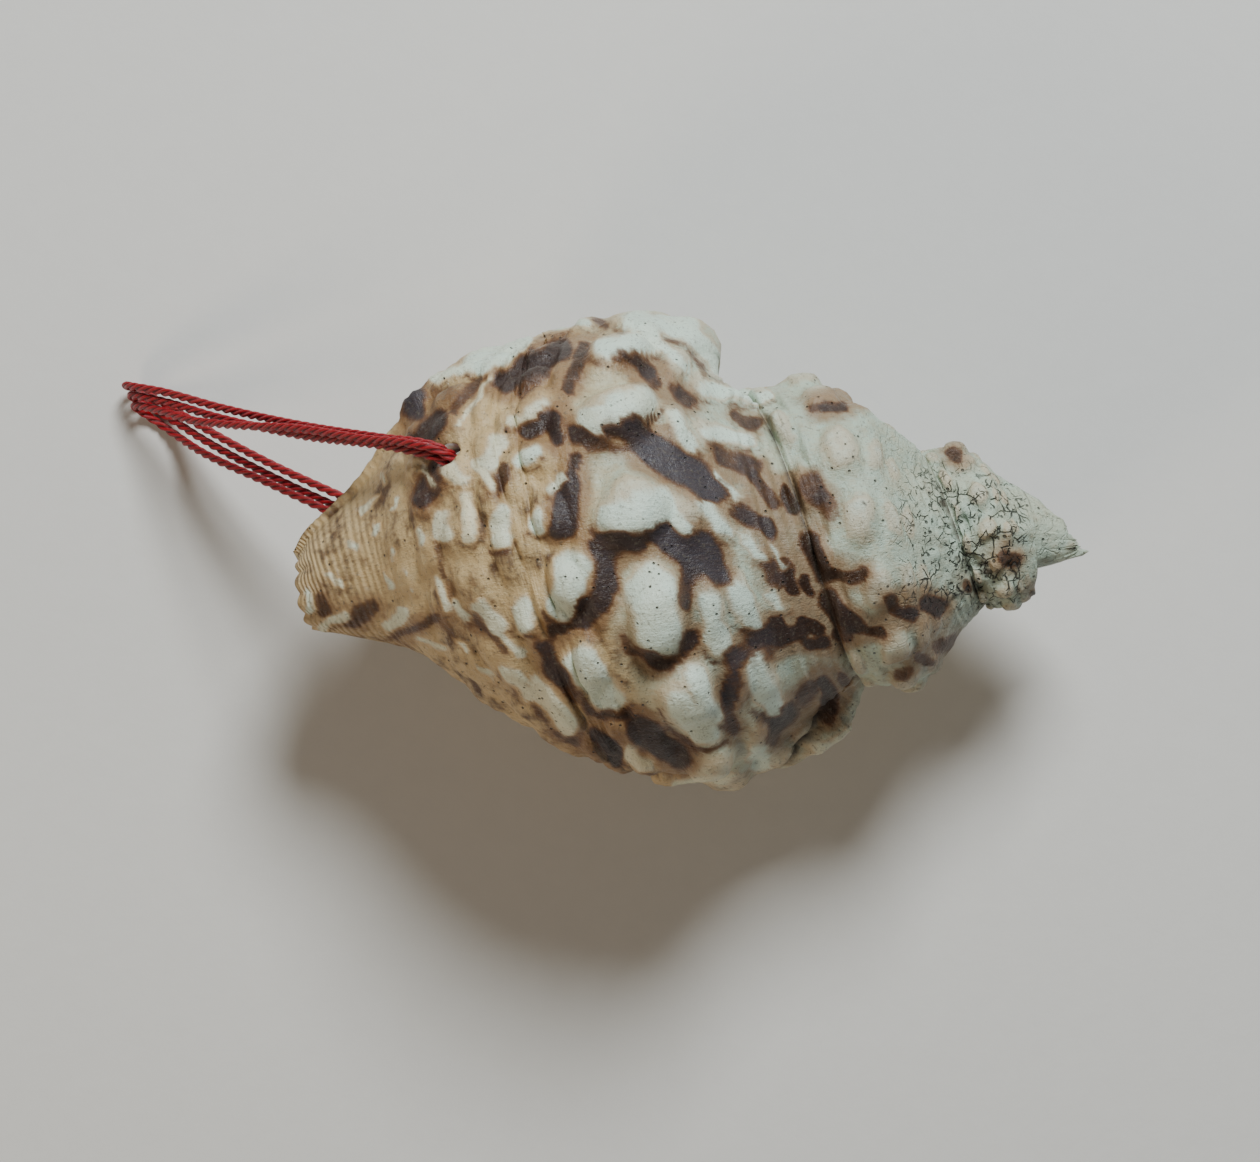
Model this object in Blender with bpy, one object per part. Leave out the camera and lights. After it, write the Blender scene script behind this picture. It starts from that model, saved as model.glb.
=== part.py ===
"""A knobbed triton shell that lies on its opening, with a red cord through a hole near its canal.

The shell is a sheet that grows round an axis. Every point on it has a growth angle, in degrees
round the axis, and a station, counted down the side of the whorl from the suture to the end of
the canal. Tables give each station's distance down the axis and its radius, in millimetres.
"""

import math

import bmesh
import bpy
import numpy as np
from mathutils import Matrix, Vector

MM = 0.001

# The axis runs from the virtual apex, at the +X end, to the canal. Growth angle 90 is the top
# of the back, 180 the +Y side, and the last whorl ends at the lip.
APEX_AT = (55.5, 2.7, 22.6)
AXIS_TURN = 4.95
LIP_ANGLE = 220.0
TURN = 360.0
COLUMNS_PER_TURN = 64
COLUMN_STEP = TURN / COLUMNS_PER_TURN
SPIRE_COLUMNS = 184
SPIRE_ANGLE = LIP_ANGLE - SPIRE_COLUMNS * COLUMN_STEP
FULL_ANGLE = LIP_ANGLE - TURN

# How the whorls widen, turn by turn, and how the last one climbs towards the lip.
WHORL_EXPANSION = 1.78
CLIMB_AT = (60, 90, 109, 136, 165, 180, 218)
CLIMB = (1.0, 1.0, 0.985, 0.955, 0.885, 0.845, 0.79)
WIDTH_AT = (-900, -720, -540, -360, -270, -180, -90, 0, 90, 180, 200, 218)
WIDTH = (0.225, 0.30, 0.41, 0.60, 0.675, 0.75, 0.79, 0.90, 1.0, 1.05, 1.06, 1.09)

# Stations down the side: suture, end of the cords below it, ramp, shoulder, main knobs, groove,
# second knobs, the line where the next suture lands, then the base, the neck and the canal.
SIDE_DISTANCE = (40.9, 47.1, 51.4, 55.6, 60.8, 66.5, 70.2, 72.8)
SIDE_RADIUS = (18.1, 21.0, 23.4, 25.9, 27.4, 27.0, 26.5, 25.8)
SHOULDER, LANDING, FIRST_LOW, CANAL_END = 3, 7, 9, 16
BELOW_LANDING = 0.12
LOW_AT = (-142, -90, -45, 0, 45, 90, 135, 180, 218)
LOW_DISTANCE = (
    (53.7, 58.4, 62.3, 66.1, 71.2, 76.7, 78.9, 74.7, 74.1),
    (56.4, 61.3, 65.6, 69.8, 74.7, 80.1, 82.1, 78.8, 77.7),
    (59.3, 64.5, 69.4, 74.2, 79.1, 83.8, 85.5, 83.0, 81.6),
    (62.5, 67.8, 73.0, 78.1, 83.0, 86.4, 87.7, 86.1, 84.7),
    (66.5, 72.0, 77.2, 82.1, 86.4, 89.1, 90.1, 89.5, 88.2),
    (72.0, 77.2, 82.1, 86.4, 90.6, 93.0, 94.6, 94.6, 93.4),
    (84.2, 88.2, 91.3, 93.8, 97.1, 99.1, 100.6, 100.7, 99.9),
    (97.7, 98.7, 99.5, 100.4, 102.3, 103.3, 103.3, 102.8, 102.3),
)
LOW_RADIUS = (
    (15.3, 17.6, 20.5, 23.2, 24.1, 24.9, 26.4, 27.8, 27.4),
    (12.7, 15.4, 18.3, 21.2, 22.5, 23.4, 25.4, 27.1, 26.8),
    (10.0, 12.5, 15.1, 18.1, 19.5, 21.0, 23.2, 25.9, 25.4),
    (7.6, 9.8, 12.0, 14.4, 16.6, 18.6, 21.0, 23.9, 23.2),
    (6.1, 7.3, 8.9, 10.5, 13.2, 15.9, 18.1, 19.5, 19.3),
    (5.4, 5.9, 6.5, 7.3, 9.5, 11.7, 13.2, 13.7, 13.2),
    (4.9, 5.1, 5.4, 5.5, 6.8, 8.3, 8.8, 8.1, 7.3),
    (4.2, 4.2, 4.0, 3.8, 5.1, 6.1, 6.1, 5.1, 4.4),
)

# The lip's edge stands back towards the canal, and the inner lip stands forward there.
EDGE_AT = (0, 9, 10, 11, 12, 13, 14, 15, 16)
EDGE_ANGLE = (220, 220, 216, 210, 202, 192, 184, 190, 204)
EDGE_FROM = 50.0
INNER_AT = (12, 13, 14, 15, 16)
INNER_FORWARD = (0, 6, 12, 24, 32)
INNER_REACH = 80.0

# Knobbed cords: station, half width, height of the cord, height and half length of its knobs.
KNOB_PITCH, KNOB_ANGLE, KNOB_LEAN = 26.0, 79.0, 5.0
KNOB_SHIFT, KNOB_UNEVEN, KNOB_SEED = 0.08, 0.18, 20
CORDS = (
    (4.05, 1.1, 0.25, 2.1, 0.56),
    (6.0, 0.85, 0.3, 1.1, 0.5),
    (8.9, 0.75, 0.2, 0.6, 0.5),
    (10.1, 0.6, 0.2, 0.55, 0.5),
    (11.1, 0.55, 0.2, 0.5, 0.5),
    (12.0, 0.5, 0.15, 0.4, 0.5),
    (13.0, 0.5, 0.15, 0.3, 0.5),
)
KNOBS_FADE, KNOBS_LEFT = (172, 184), 0.3

# Old lips left as ridges: angle, half length and size, and their height down the side.
VARICES = ((-8, 17, 1.0), (-213, 13, 0.42), (-418, 13, 0.24), (-623, 12, 0.14))
VARIX_AT = (0, 0.4, 0.9, 2, 3, 4, 6, 8, 12, 14)
VARIX_HEIGHT = (0, 2.2, 4.2, 4.2, 3.0, 1.8, 2.2, 1.6, 0.4, 0)
VARIX_RISE, VARIX_FALL = 1.3, 0.7
FLARE_ANGLE, FLARE_HALF, FLARE_RISE, FLARE_FALL = 199.0, 20.0, 1.1, 3.0
FLARE_AT = (0, 1, 2, 3, 4, 5, 6, 8, 9, 11, 12, 14)
FLARE_HEIGHT = (0, 1.0, 2.8, 4.4, 3.6, 3.4, 3.6, 3.4, 2.4, 1.5, 0.6, 0)

# Where the plain whorl is left alone, so that glued rows meet.
SUTURE_MARGIN, LANDING_MARGIN = 0.4, 0.7

# What lies this close to the floor is worn flat on it.
WORN_BELOW = 0.9

# The rows of the sheet, as stations.
SIDE_ROWS = (0, 0.45, 0.9, 1.5, 2.2, 3, 3.6, 4.2, 4.9, 5.5, 6.1, 7)
LOW_ROWS = (7.8, 8.8, 9.5, 10.1, 10.7, 11.3, 12, 12.6, 13.3, 14, 14.6, 15.3, 16)
ROWS = SIDE_ROWS + LOW_ROWS

# The lip's rim, as depths from its edge and bulges past it, in wall thicknesses.
WALL = 1.9
RIM = ((0.3, 0.3), (0.7, 0.3), (1.0, 0.0))
RIM_SHARE = 0.3
FACE_STEPS = (0.5, 1.0)

# The hollow: how far past the lip it starts, where it ends, and how far down it reaches.
LUMEN_PAST_LIP, LUMEN_END = 8.0, -60.0
LUMEN_COLUMNS = 40
LUMEN_TOP, LUMEN_OUTER_POINTS = 0.9, 11
LUMEN_REACH_AT = (-60, 60, 110, 150, 175, 190)
LUMEN_REACH = (11.6, 12.4, 13.4, 14.6, 15.6, 16.0)
CANAL_FROM, CANAL_OPENS = 150.0, 80.0

# Its inner side: on the whorl before, under the callus, then down the columella.
LUMEN_INNER = (7.5, 8.6, 9.8, 11.0)
COLUMELLA_POINTS = 4
COLUMELLA_AT = (60, 66, 72, 84, 90, 98, 106)
COLUMELLA = (9.2, 7.0, 6.3, 5.6, 4.6, 2.6, 2.0)
CANAL_PAST_END, LEAST_GAP = 1.5, 1.8
CALLUS = 0.6

# The drilled hole.
HOLE_ANGLE, HOLE_STATION, HOLE_RADIUS, HOLE_LENGTH = 128.0, 10.25, 1.7, 9.0
HOLE_SIDES = 20

# The broken top of the spire: its middle in the shell's frame, then rings as shares of the
# broken edge's size, how far each stands out, and how uneven it is.
STUMP_MIDDLE, STUMP_LEAN, STUMP_SEED = (-12.0, -1.4, 0.2), 0.2, 7
STUMP_RINGS = ((0.8, 1.2, 0.3), (0.5, 2.4, 0.4), (0.22, 3.1, 0.2))

# The cord goes up through the hole, out to the left, back under the lip and up again, three
# times, from the knot that ties it inside the shell. In millimetres, from the part's origin.
CORD_DIAMETER, CORD_POINTS, CORD_READINGS, BEND_SHARE = 1.1, 80, 2000, 22
FIRST_TURN = (
    (-29.3, 8.7, 31.5),
    (-25.4, 9.0, 37.8),
    (-27.4, 10.4, 40.6),
    (-28.9, 11.3, 42.3),
    (-30.1, 11.9, 42.3),
    (-31.2, 12.2, 41.6),
    (-36.3, 13.0, 36.9),
    (-47.1, 14.9, 25.9),
    (-57.8, 17.4, 15.5),
    (-66.0, 19.7, 8.6),
    (-69.7, 20.4, 5.1),
    (-70.6, 20.6, 3.3),
    (-69.8, 20.3, 1.4),
    (-67.9, 19.4, 0.7),
    (-65.9, 18.3, 1.6),
    (-61.0, 15.4, 5.6),
    (-51.5, 10.4, 13.1),
    (-42.2, 6.2, 19.4),
    (-38.2, 4.4, 21.5),
    (-30.0, 6.2, 31.4),
)
SECOND_TURN = (
    (-25.7, 7.8, 37.9),
    (-27.9, 9.3, 40.8),
    (-29.5, 10.3, 42.5),
    (-30.5, 10.7, 42.6),
    (-31.6, 11.0, 42.0),
    (-47.5, 13.7, 26.1),
    (-58.2, 16.2, 15.7),
    (-65.5, 18.4, 8.6),
    (-69.1, 19.2, 5.1),
    (-70.0, 19.3, 3.3),
    (-69.2, 18.8, 1.4),
    (-67.3, 17.7, 0.7),
    (-65.4, 16.6, 1.6),
    (-61.0, 13.9, 5.2),
    (-51.5, 8.9, 12.5),
    (-42.9, 5.0, 18.3),
    (-38.6, 3.2, 20.7),
    (-28.2, 4.6, 31.3),
)
THIRD_TURN = (
    (-24.5, 8.0, 38.6),
    (-26.9, 9.7, 41.4),
    (-28.9, 10.9, 43.3),
    (-30.4, 11.6, 43.4),
    (-32.0, 12.0, 42.8),
    (-38.6, 12.9, 36.5),
    (-47.9, 14.5, 27.3),
    (-56.0, 15.1, 19.7),
    (-62.0, 16.0, 13.2),
    (-66.0, 17.3, 8.3),
    (-68.6, 17.9, 5.1),
    (-69.5, 18.0, 3.3),
    (-68.7, 17.3, 1.4),
    (-66.8, 16.0, 0.7),
    (-64.9, 14.7, 1.6),
    (-61.3, 12.4, 5.8),
    (-51.7, 8.0, 13.8),
    (-43.2, 4.1, 19.1),
    (-40.6, 2.9, 20.6),
    (-37.8, 3.2, 23.5),
    (-35.8, 4.6, 26.4),
    (-31.9, 7.8, 29.0),
)

# The knot.
KNOT_AT, KNOT_RADIUS = (-30.5, 8.6, 30.0), 1.5


def ease(u):
    """A smooth rise from 0 to 1."""
    u = np.clip(u, 0, 1)
    return u * u * (3 - 2 * u)


def keyed(x, keys, values):
    """A smooth curve through values set by hand at keys, flat outside them."""
    k = np.asarray(keys, float)
    v = np.asarray(values, float)
    x = np.clip(np.asarray(x, float), k[0], k[-1])
    slope = np.diff(v) / np.diff(k)
    tangent = np.concatenate(([slope[0]], slope, [slope[-1]]))
    before, after = np.diff(k, prepend=k[0]), np.diff(k, append=k[-1])
    tangent = (tangent[:-1] * after + tangent[1:] * before) / (before + after)
    tangent[0], tangent[-1] = slope[0], slope[-1]
    i = np.clip(np.searchsorted(k, x, side="right") - 1, 0, len(k) - 2)
    h = k[i + 1] - k[i]
    u = (x - k[i]) / h
    start = (1 + 2 * u) * (1 - u) ** 2 * v[i] + u * (1 - u) ** 2 * h * tangent[i]
    end = u * u * (3 - 2 * u) * v[i + 1] - u * u * (1 - u) * h * tangent[i + 1]
    return start + end


def length_scale(t):
    return WHORL_EXPANSION ** ((t - 90) / TURN) * keyed(t, CLIMB_AT, CLIMB)


def width_scale(t):
    return np.exp(keyed(t, WIDTH_AT, np.log(WIDTH)))


def stations(t):
    """Distance down the axis and radius of every station, for a list of growth angles."""
    landing_a, landing_r = SIDE_DISTANCE[LANDING], SIDE_RADIUS[LANDING]
    a = np.zeros((len(t), CANAL_END + 1))
    r = np.zeros_like(a)
    a[:, : LANDING + 1] = np.outer(length_scale(t), SIDE_DISTANCE)
    r[:, : LANDING + 1] = np.outer(width_scale(t), SIDE_RADIUS)
    suture_a = landing_a * length_scale(t - TURN)
    suture_r = landing_r * width_scale(t - TURN)
    for values, start, table in ((a, suture_a, SIDE_DISTANCE), (r, suture_r, SIDE_RADIUS)):
        shoulder = values[:, SHOULDER].copy()
        for j in range(SHOULDER):
            share = (table[j] - table[0]) / (table[SHOULDER] - table[0])
            values[:, j] = start + share * (shoulder - start)
    inner = np.clip(length_scale(t) / length_scale(LOW_AT[0]), 0, 1)
    for j in range(FIRST_LOW, CANAL_END + 1):
        a[:, j] = keyed(t, LOW_AT, LOW_DISTANCE[j - FIRST_LOW]) * inner
        r[:, j] = keyed(t, LOW_AT, LOW_RADIUS[j - FIRST_LOW]) * inner
    between = LANDING + 1
    a[:, between] = (a[:, LANDING] + a[:, FIRST_LOW]) / 2
    r[:, between] = (r[:, LANDING] + r[:, FIRST_LOW]) / 2 + BELOW_LANDING
    return a, r


def down_the_side(values, v):
    """Reads a smooth curve through each row of station values, at one station per row."""
    last = values.shape[1] - 1
    row = np.arange(len(v))
    i = np.clip(np.floor(v).astype(int), 0, last - 1)
    u = v - i
    here, ahead = values[row, i], values[row, i + 1]
    behind = np.where(i > 0, values[row, np.maximum(i - 1, 0)], 2 * here - ahead)
    beyond = np.where(i < last - 1, values[row, np.minimum(i + 2, last)], 2 * ahead - here)
    bend = 2 * behind - 5 * here + 4 * ahead - beyond
    twist = 3 * here - behind - 3 * ahead + beyond
    return (2 * here + (ahead - behind) * u + bend * u**2 + twist * u**3) / 2


def plain_whorl(t, v):
    """Points without relief, in the shell's own frame: x up the axis, z away from the back."""
    a, r = stations(t)
    a, r = down_the_side(a, v), down_the_side(r, v)
    angle = np.radians(t)
    return np.stack([-a, -r * np.cos(angle), r * np.sin(angle)], axis=-1)


def outward(t, v):
    """The direction that faces out of the plain whorl."""
    dt, dv = 0.5, 0.02
    v = np.clip(v, dv, CANAL_END - dv)
    along = plain_whorl(t + dt, v) - plain_whorl(t - dt, v)
    down = plain_whorl(t, v + dv) - plain_whorl(t, v - dv)
    normal = np.cross(down, along)
    normal /= np.linalg.norm(normal, axis=-1, keepdims=True)
    point = plain_whorl(t, v)
    inside_out = (normal[:, 1:] * point[:, 1:]).sum() < 0
    return -normal if inside_out else normal


def lump(x, half):
    u = np.clip(np.abs(x) / half, 0, 1)
    return (1 - u * u) ** 2


def scatter(i, seed):
    """A repeatable number from -1 to 1 for each whole number."""
    return 2 * np.modf(np.abs(np.sin((i + 0.37) * 127.1 + seed * 311.7)) * 4375.85)[0] - 1


def ridge(t, at, half, rise, fall):
    u = (t - at) / half
    return ease(np.where(u < 0, 1 + u / rise, 1 - u / fall))


def relief(t, v):
    """Height over the plain whorl: knobbed cords, varices and the flare of the lip."""
    size = WHORL_EXPANSION ** ((t - 90) / TURN)
    height = np.zeros_like(t)
    for n, (at, half, cord, knob, knob_half) in enumerate(CORDS):
        phase = (t - KNOB_ANGLE + (v - CORDS[0][0]) * KNOB_LEAN) / KNOB_PITCH
        k = np.round(phase)
        uneven = 1 + KNOB_UNEVEN * scatter(k, n + KNOB_SEED)
        shape = lump(phase - k - KNOB_SHIFT * scatter(k, n), knob_half) * uneven
        start, end = KNOBS_FADE
        fade = 1 - (1 - KNOBS_LEFT) * ease((t - start) / (end - start))
        height += size * lump(v - at, half) * (cord + knob * shape * fade)
    for at, half, scale in VARICES:
        height += ridge(t, at, half, VARIX_RISE, VARIX_FALL) * scale * keyed(v, VARIX_AT, VARIX_HEIGHT)
    height += ridge(t, FLARE_ANGLE, FLARE_HALF, FLARE_RISE, FLARE_FALL) * keyed(v, FLARE_AT, FLARE_HEIGHT)
    at_suture = ease(v / SUTURE_MARGIN)
    at_landing = np.where(t < FULL_ANGLE, ease((LANDING - v) / LANDING_MARGIN), 1.0)
    return height * at_suture * at_landing


def leaning(t, v):
    """The growth angle where a column of the sheet crosses a station."""
    back = LIP_ANGLE - keyed(v, EDGE_AT, EDGE_ANGLE)
    forward = keyed(v, INNER_AT, INNER_FORWARD)
    late = ease((t - EDGE_FROM) / (LIP_ANGLE - EDGE_FROM))
    early = 1 - ease((t - FULL_ANGLE) / INNER_REACH)
    return t - back * late + forward * np.where(t < FULL_ANGLE, 0, early)


def grown(t, v):
    """Points of the finished outside, for columns t and stations v."""
    angle = leaning(t, v)
    return plain_whorl(angle, v) + outward(angle, v) * relief(angle, v)[:, None]


def world_matrix():
    """From the shell's frame in millimetres to where it lies, in metres."""
    turn = math.radians(AXIS_TURN)
    c, s = math.cos(turn) * MM, math.sin(turn) * MM
    x, y, z = (p * MM for p in APEX_AT)
    return np.array([[c, -s, 0, x], [s, c, 0, y], [0, 0, MM, z], [0, 0, 0, 1]])


def to_world(points):
    m = world_matrix()
    return np.asarray(points, float) @ m[:3, :3].T + m[:3, 3]


def material(name, colour, roughness):
    m = bpy.data.materials.new(name)
    m.use_nodes = True
    shader = m.node_tree.nodes["Principled BSDF"]
    shader.inputs["Base Color"].default_value = (*colour, 1)
    shader.inputs["Roughness"].default_value = roughness
    return m


def add_object(name, data, look=None):
    o = bpy.data.objects.new(name, data)
    bpy.context.scene.collection.objects.link(o)
    if look is not None:
        data.materials.append(look)
    return o


def finished_mesh(name, bm):
    bmesh.ops.recalc_face_normals(bm, faces=bm.faces)
    mesh = bpy.data.meshes.new(name)
    bm.to_mesh(mesh)
    bm.free()
    mesh.shade_smooth()
    return mesh


def grid_cells(bm, columns, rows):
    """A flat grid, and each vertex's column and row."""
    bmesh.ops.create_grid(bm, x_segments=columns, y_segments=rows, size=1)
    co = np.array([v.co for v in bm.verts])
    column = np.rint((co[:, 0] + 1) / 2 * columns).astype(int)
    row = np.rint((co[:, 1] + 1) / 2 * rows).astype(int)
    return column, row


def move_to(verts, points):
    for vert, point in zip(verts, points):
        vert.co = point


def rim_points(outer, inner, past, depth, bulge):
    """Points of the lip's rim: in from the outer edge, and a little past it."""
    across = inner - outer
    width = np.linalg.norm(across, axis=-1, keepdims=True)
    across = across / np.maximum(width, 1e-6)
    thickness = np.minimum(WALL, RIM_SHARE * width)
    return outer + across * thickness * depth + past * thickness * bulge


def face_points(row, step):
    """Points of the face that closes the mouth, which the hollow then cuts open."""
    v = np.asarray(ROWS, float)[row]
    lip = np.full(len(row), LIP_ANGLE)
    full = np.full(len(row), FULL_ANGLE)
    outer = grown(lip, v)
    inner = grown(full, np.maximum(v, LANDING))
    past = outer - grown(lip - 1, v)
    past /= np.linalg.norm(past, axis=-1, keepdims=True)
    if step < len(RIM):
        return rim_points(outer, inner, past, *RIM[step])
    edge = rim_points(outer, inner, past, *RIM[-1])
    return edge + (inner - edge) * FACE_STEPS[step - len(RIM)]


def fill_hole(bm, edges):
    filled = bmesh.ops.holes_fill(bm, edges=edges)["faces"]
    bmesh.ops.poke(bm, faces=filled)


def close_spire(bm, edges):
    """Fills the top of the spire with the uneven stump of the whorls that broke off."""
    to_shell = Matrix(world_matrix()).inverted()
    middle = Vector(STUMP_MIDDLE)
    last_share = 1.0
    for n, (share, out, uneven) in enumerate(STUMP_RINGS):
        new = bmesh.ops.extrude_edge_only(bm, edges=edges)["geom"]
        edges = [g for g in new if isinstance(g, bmesh.types.BMEdge) and g.is_boundary]
        for v in {v for e in edges for v in e.verts}:
            spoke = (to_shell @ v.co - middle) * (share / last_share)
            bump = uneven * float(scatter(round(spoke.y) + round(spoke.z) * STUMP_SEED, n))
            step = Vector((out * (1 - STUMP_LEAN * spoke.y) + bump, 0, 0)) * (1 - share)
            v.co = to_shell.inverted() @ (middle + spoke + step)
        last_share = share
    fill_hole(bm, edges)


def shell_outside():
    bm = bmesh.new()
    face_columns = len(RIM) + len(FACE_STEPS)
    column, row = grid_cells(bm, SPIRE_COLUMNS + face_columns, len(ROWS) - 1)
    landing_row = ROWS.index(LANDING)
    full_column = SPIRE_COLUMNS - COLUMNS_PER_TURN
    points = np.zeros((len(column), 3))
    side = column <= SPIRE_COLUMNS
    t = SPIRE_ANGLE + column[side] * COLUMN_STEP
    points[side] = grown(t, np.asarray(ROWS, float)[row[side]])
    for step in range(face_columns):
        here = column == SPIRE_COLUMNS + 1 + step
        points[here] = face_points(row[here], step)
    world = to_world(points)
    world[world[:, 2] < WORN_BELOW * MM, 2] = 0
    bm.verts.ensure_lookup_table()
    move_to(bm.verts, world)
    unborn = [bm.verts[i] for i in np.flatnonzero((row > landing_row) & (column < full_column))]
    bmesh.ops.delete(bm, geom=unborn, context="VERTS")
    bmesh.ops.remove_doubles(bm, verts=bm.verts, dist=0.002 * MM)
    open_edges = [e for e in bm.edges if e.is_boundary]
    at_spire = [e for e in open_edges if e.verts[0].co.x > 0]
    at_canal = [e for e in open_edges if e.verts[0].co.x <= 0]
    close_spire(bm, at_spire)
    fill_hole(bm, at_canal)
    return finished_mesh("shell", bm)


def solid_from_rings(name, rings):
    """A closed tube through rings of points, each ring the same number of points."""
    bm = bmesh.new()
    sides = len(rings[0])
    column, row = grid_cells(bm, len(rings) - 1, sides)
    points = np.array(rings)[column, row % sides]
    move_to(bm.verts, to_world(points))
    bmesh.ops.remove_doubles(bm, verts=bm.verts, dist=0.0005 * MM)
    bmesh.ops.holes_fill(bm, edges=[e for e in bm.edges if e.is_boundary])
    return finished_mesh(name, bm)


def lumen_ring(t):
    """One section of the hollow: down the inside of the wall, then back up the columella."""
    reach = float(keyed(t, LUMEN_REACH_AT, LUMEN_REACH))
    v = LUMEN_TOP + (reach - LUMEN_TOP) * np.linspace(0, 1, LUMEN_OUTER_POINTS)
    opened = ease((t - CANAL_FROM) / CANAL_OPENS)
    angle = t + keyed(v, INNER_AT, INNER_FORWARD) * opened
    outer = plain_whorl(angle, v) - outward(angle, v) * WALL
    outer[-1, 0] -= CANAL_PAST_END * ease(reach - CANAL_END + 1)
    column = outer[-COLUMELLA_POINTS:].copy()
    radius = np.hypot(column[:, 1], column[:, 2])
    core = keyed(-column[:, 0], COLUMELLA_AT, COLUMELLA)
    column[:, 1:] *= (core / radius)[:, None]
    wide = np.maximum(radius, core + LEAST_GAP)
    outer[-COLUMELLA_POINTS:, 1:] *= (wide / radius)[:, None]
    v = np.array(LUMEN_INNER, float)
    before = np.full(len(v), t - TURN)
    inner = plain_whorl(before, v) + outward(before, v) * CALLUS
    return np.concatenate([outer, column[::-1], inner[::-1]])


def lumen():
    angles = np.linspace(LIP_ANGLE + LUMEN_PAST_LIP, LUMEN_END, LUMEN_COLUMNS)
    return solid_from_rings("lumen_cutter", [lumen_ring(t) for t in angles])


def drill():
    t, v = np.array([HOLE_ANGLE]), np.array([HOLE_STATION])
    centre = Vector(to_world(plain_whorl(t, v))[0])
    tip = Vector(to_world(plain_whorl(t, v) + outward(t, v))[0])
    bm = bmesh.new()
    radius, depth = HOLE_RADIUS * MM, HOLE_LENGTH * MM
    bmesh.ops.create_cone(
        bm, cap_ends=True, segments=HOLE_SIDES, radius1=radius, radius2=radius, depth=depth
    )
    turn = (tip - centre).to_track_quat("Z", "Y").to_matrix().to_4x4()
    bmesh.ops.transform(bm, matrix=Matrix.Translation(centre) @ turn, verts=bm.verts)
    return finished_mesh("hole_cutter", bm)


def build_shell():
    shell = add_object("shell", shell_outside(), material("shell", (0.72, 0.68, 0.60), 0.45))
    for mesh in (lumen(), drill()):
        cutter = add_object(mesh.name, mesh)
        cutter.hide_render = True
        cutter.display_type = "WIRE"
        cut = shell.modifiers.new(mesh.name, "BOOLEAN")
        cut.operation = "DIFFERENCE"
        cut.solver = "EXACT"
        cut.object = cutter
    return shell


def cord_route():
    """Points on a smooth curve through the cord's three turns, closer together where it bends."""
    route = np.array(FIRST_TURN + SECOND_TURN + THIRD_TURN)
    chord = np.cumsum(np.r_[0, np.linalg.norm(np.diff(route, axis=0), axis=1)])
    at = np.linspace(0, chord[-1], CORD_READINGS)
    curve = np.stack([keyed(at, chord, route[:, axis]) for axis in range(3)], axis=-1)
    heading = np.gradient(curve, axis=0)
    heading /= np.linalg.norm(heading, axis=1, keepdims=True)
    bend = np.linalg.norm(np.gradient(heading, at, axis=0), axis=1)
    need = np.cumsum(1 + BEND_SHARE * bend)
    picked = np.interp(np.linspace(need[0], need[-1], CORD_POINTS), need, at)
    return np.stack([np.interp(picked, at, curve[:, axis]) for axis in range(3)], axis=-1)


def build_cord():
    curve = bpy.data.curves.new("cord", "CURVE")
    curve.dimensions = "3D"
    curve.bevel_depth = CORD_DIAMETER / 2 * MM
    curve.bevel_resolution = 2
    curve.render_resolution_u = 0
    curve.use_fill_caps = True
    points = cord_route() * MM
    spline = curve.splines.new("POLY")
    spline.points.add(len(points) - 1)
    for point, place in zip(spline.points, points):
        point.co = (*place, 1)
    return add_object("cord", curve, material("red_cord", (0.42, 0.02, 0.025), 0.4))


def build_knot():
    bm = bmesh.new()
    bmesh.ops.create_icosphere(bm, subdivisions=2, radius=KNOT_RADIUS * MM)
    bmesh.ops.translate(bm, verts=bm.verts, vec=Vector(KNOT_AT) * MM)
    return add_object("knot", finished_mesh("knot", bm), material("red_knot", (0.42, 0.02, 0.025), 0.4))


def main():
    for o in list(bpy.data.objects):
        bpy.data.objects.remove(o, do_unlink=True)
    build_shell()
    build_cord()
    build_knot()


main()
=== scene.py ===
import itertools
import math

import bmesh
import bpy
import numpy as np
from mathutils import Matrix, Vector


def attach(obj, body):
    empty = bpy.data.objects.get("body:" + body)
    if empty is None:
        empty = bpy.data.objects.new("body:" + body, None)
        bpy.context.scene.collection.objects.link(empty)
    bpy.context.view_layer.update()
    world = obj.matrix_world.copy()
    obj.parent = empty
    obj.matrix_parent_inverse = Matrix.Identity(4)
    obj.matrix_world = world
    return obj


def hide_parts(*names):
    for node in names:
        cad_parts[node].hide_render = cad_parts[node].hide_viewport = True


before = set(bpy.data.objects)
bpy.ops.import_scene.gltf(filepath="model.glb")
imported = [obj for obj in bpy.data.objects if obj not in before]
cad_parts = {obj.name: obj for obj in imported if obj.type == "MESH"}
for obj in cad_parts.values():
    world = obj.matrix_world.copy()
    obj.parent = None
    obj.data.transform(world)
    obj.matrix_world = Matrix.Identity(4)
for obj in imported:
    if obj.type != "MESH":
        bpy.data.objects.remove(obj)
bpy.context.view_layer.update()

MM = 0.001
HASH_WEIGHTS, HASH_SEED, HASH_SCALE = (127.1, 311.7, 74.7), 53.7, 4375.85

# The shell grows round an axis that runs from the virtual apex, at the +X end, to the canal.
# A point on it has a growth angle, in degrees, and a station down the side of the whorl.
# Angle 90 is the top of the back. The tables are in millimetres.
APEX_AT = (55.5, 2.7, 22.6)
AXIS_TURN = 4.95
LIP_ANGLE = 220.0
TURN = 360.0
COLUMNS_PER_TURN = 256
COLUMN_STEP = TURN / COLUMNS_PER_TURN
SPIRE_COLUMNS = 736
SPIRE_ANGLE = LIP_ANGLE - SPIRE_COLUMNS * COLUMN_STEP
FULL_ANGLE = LIP_ANGLE - TURN

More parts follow.
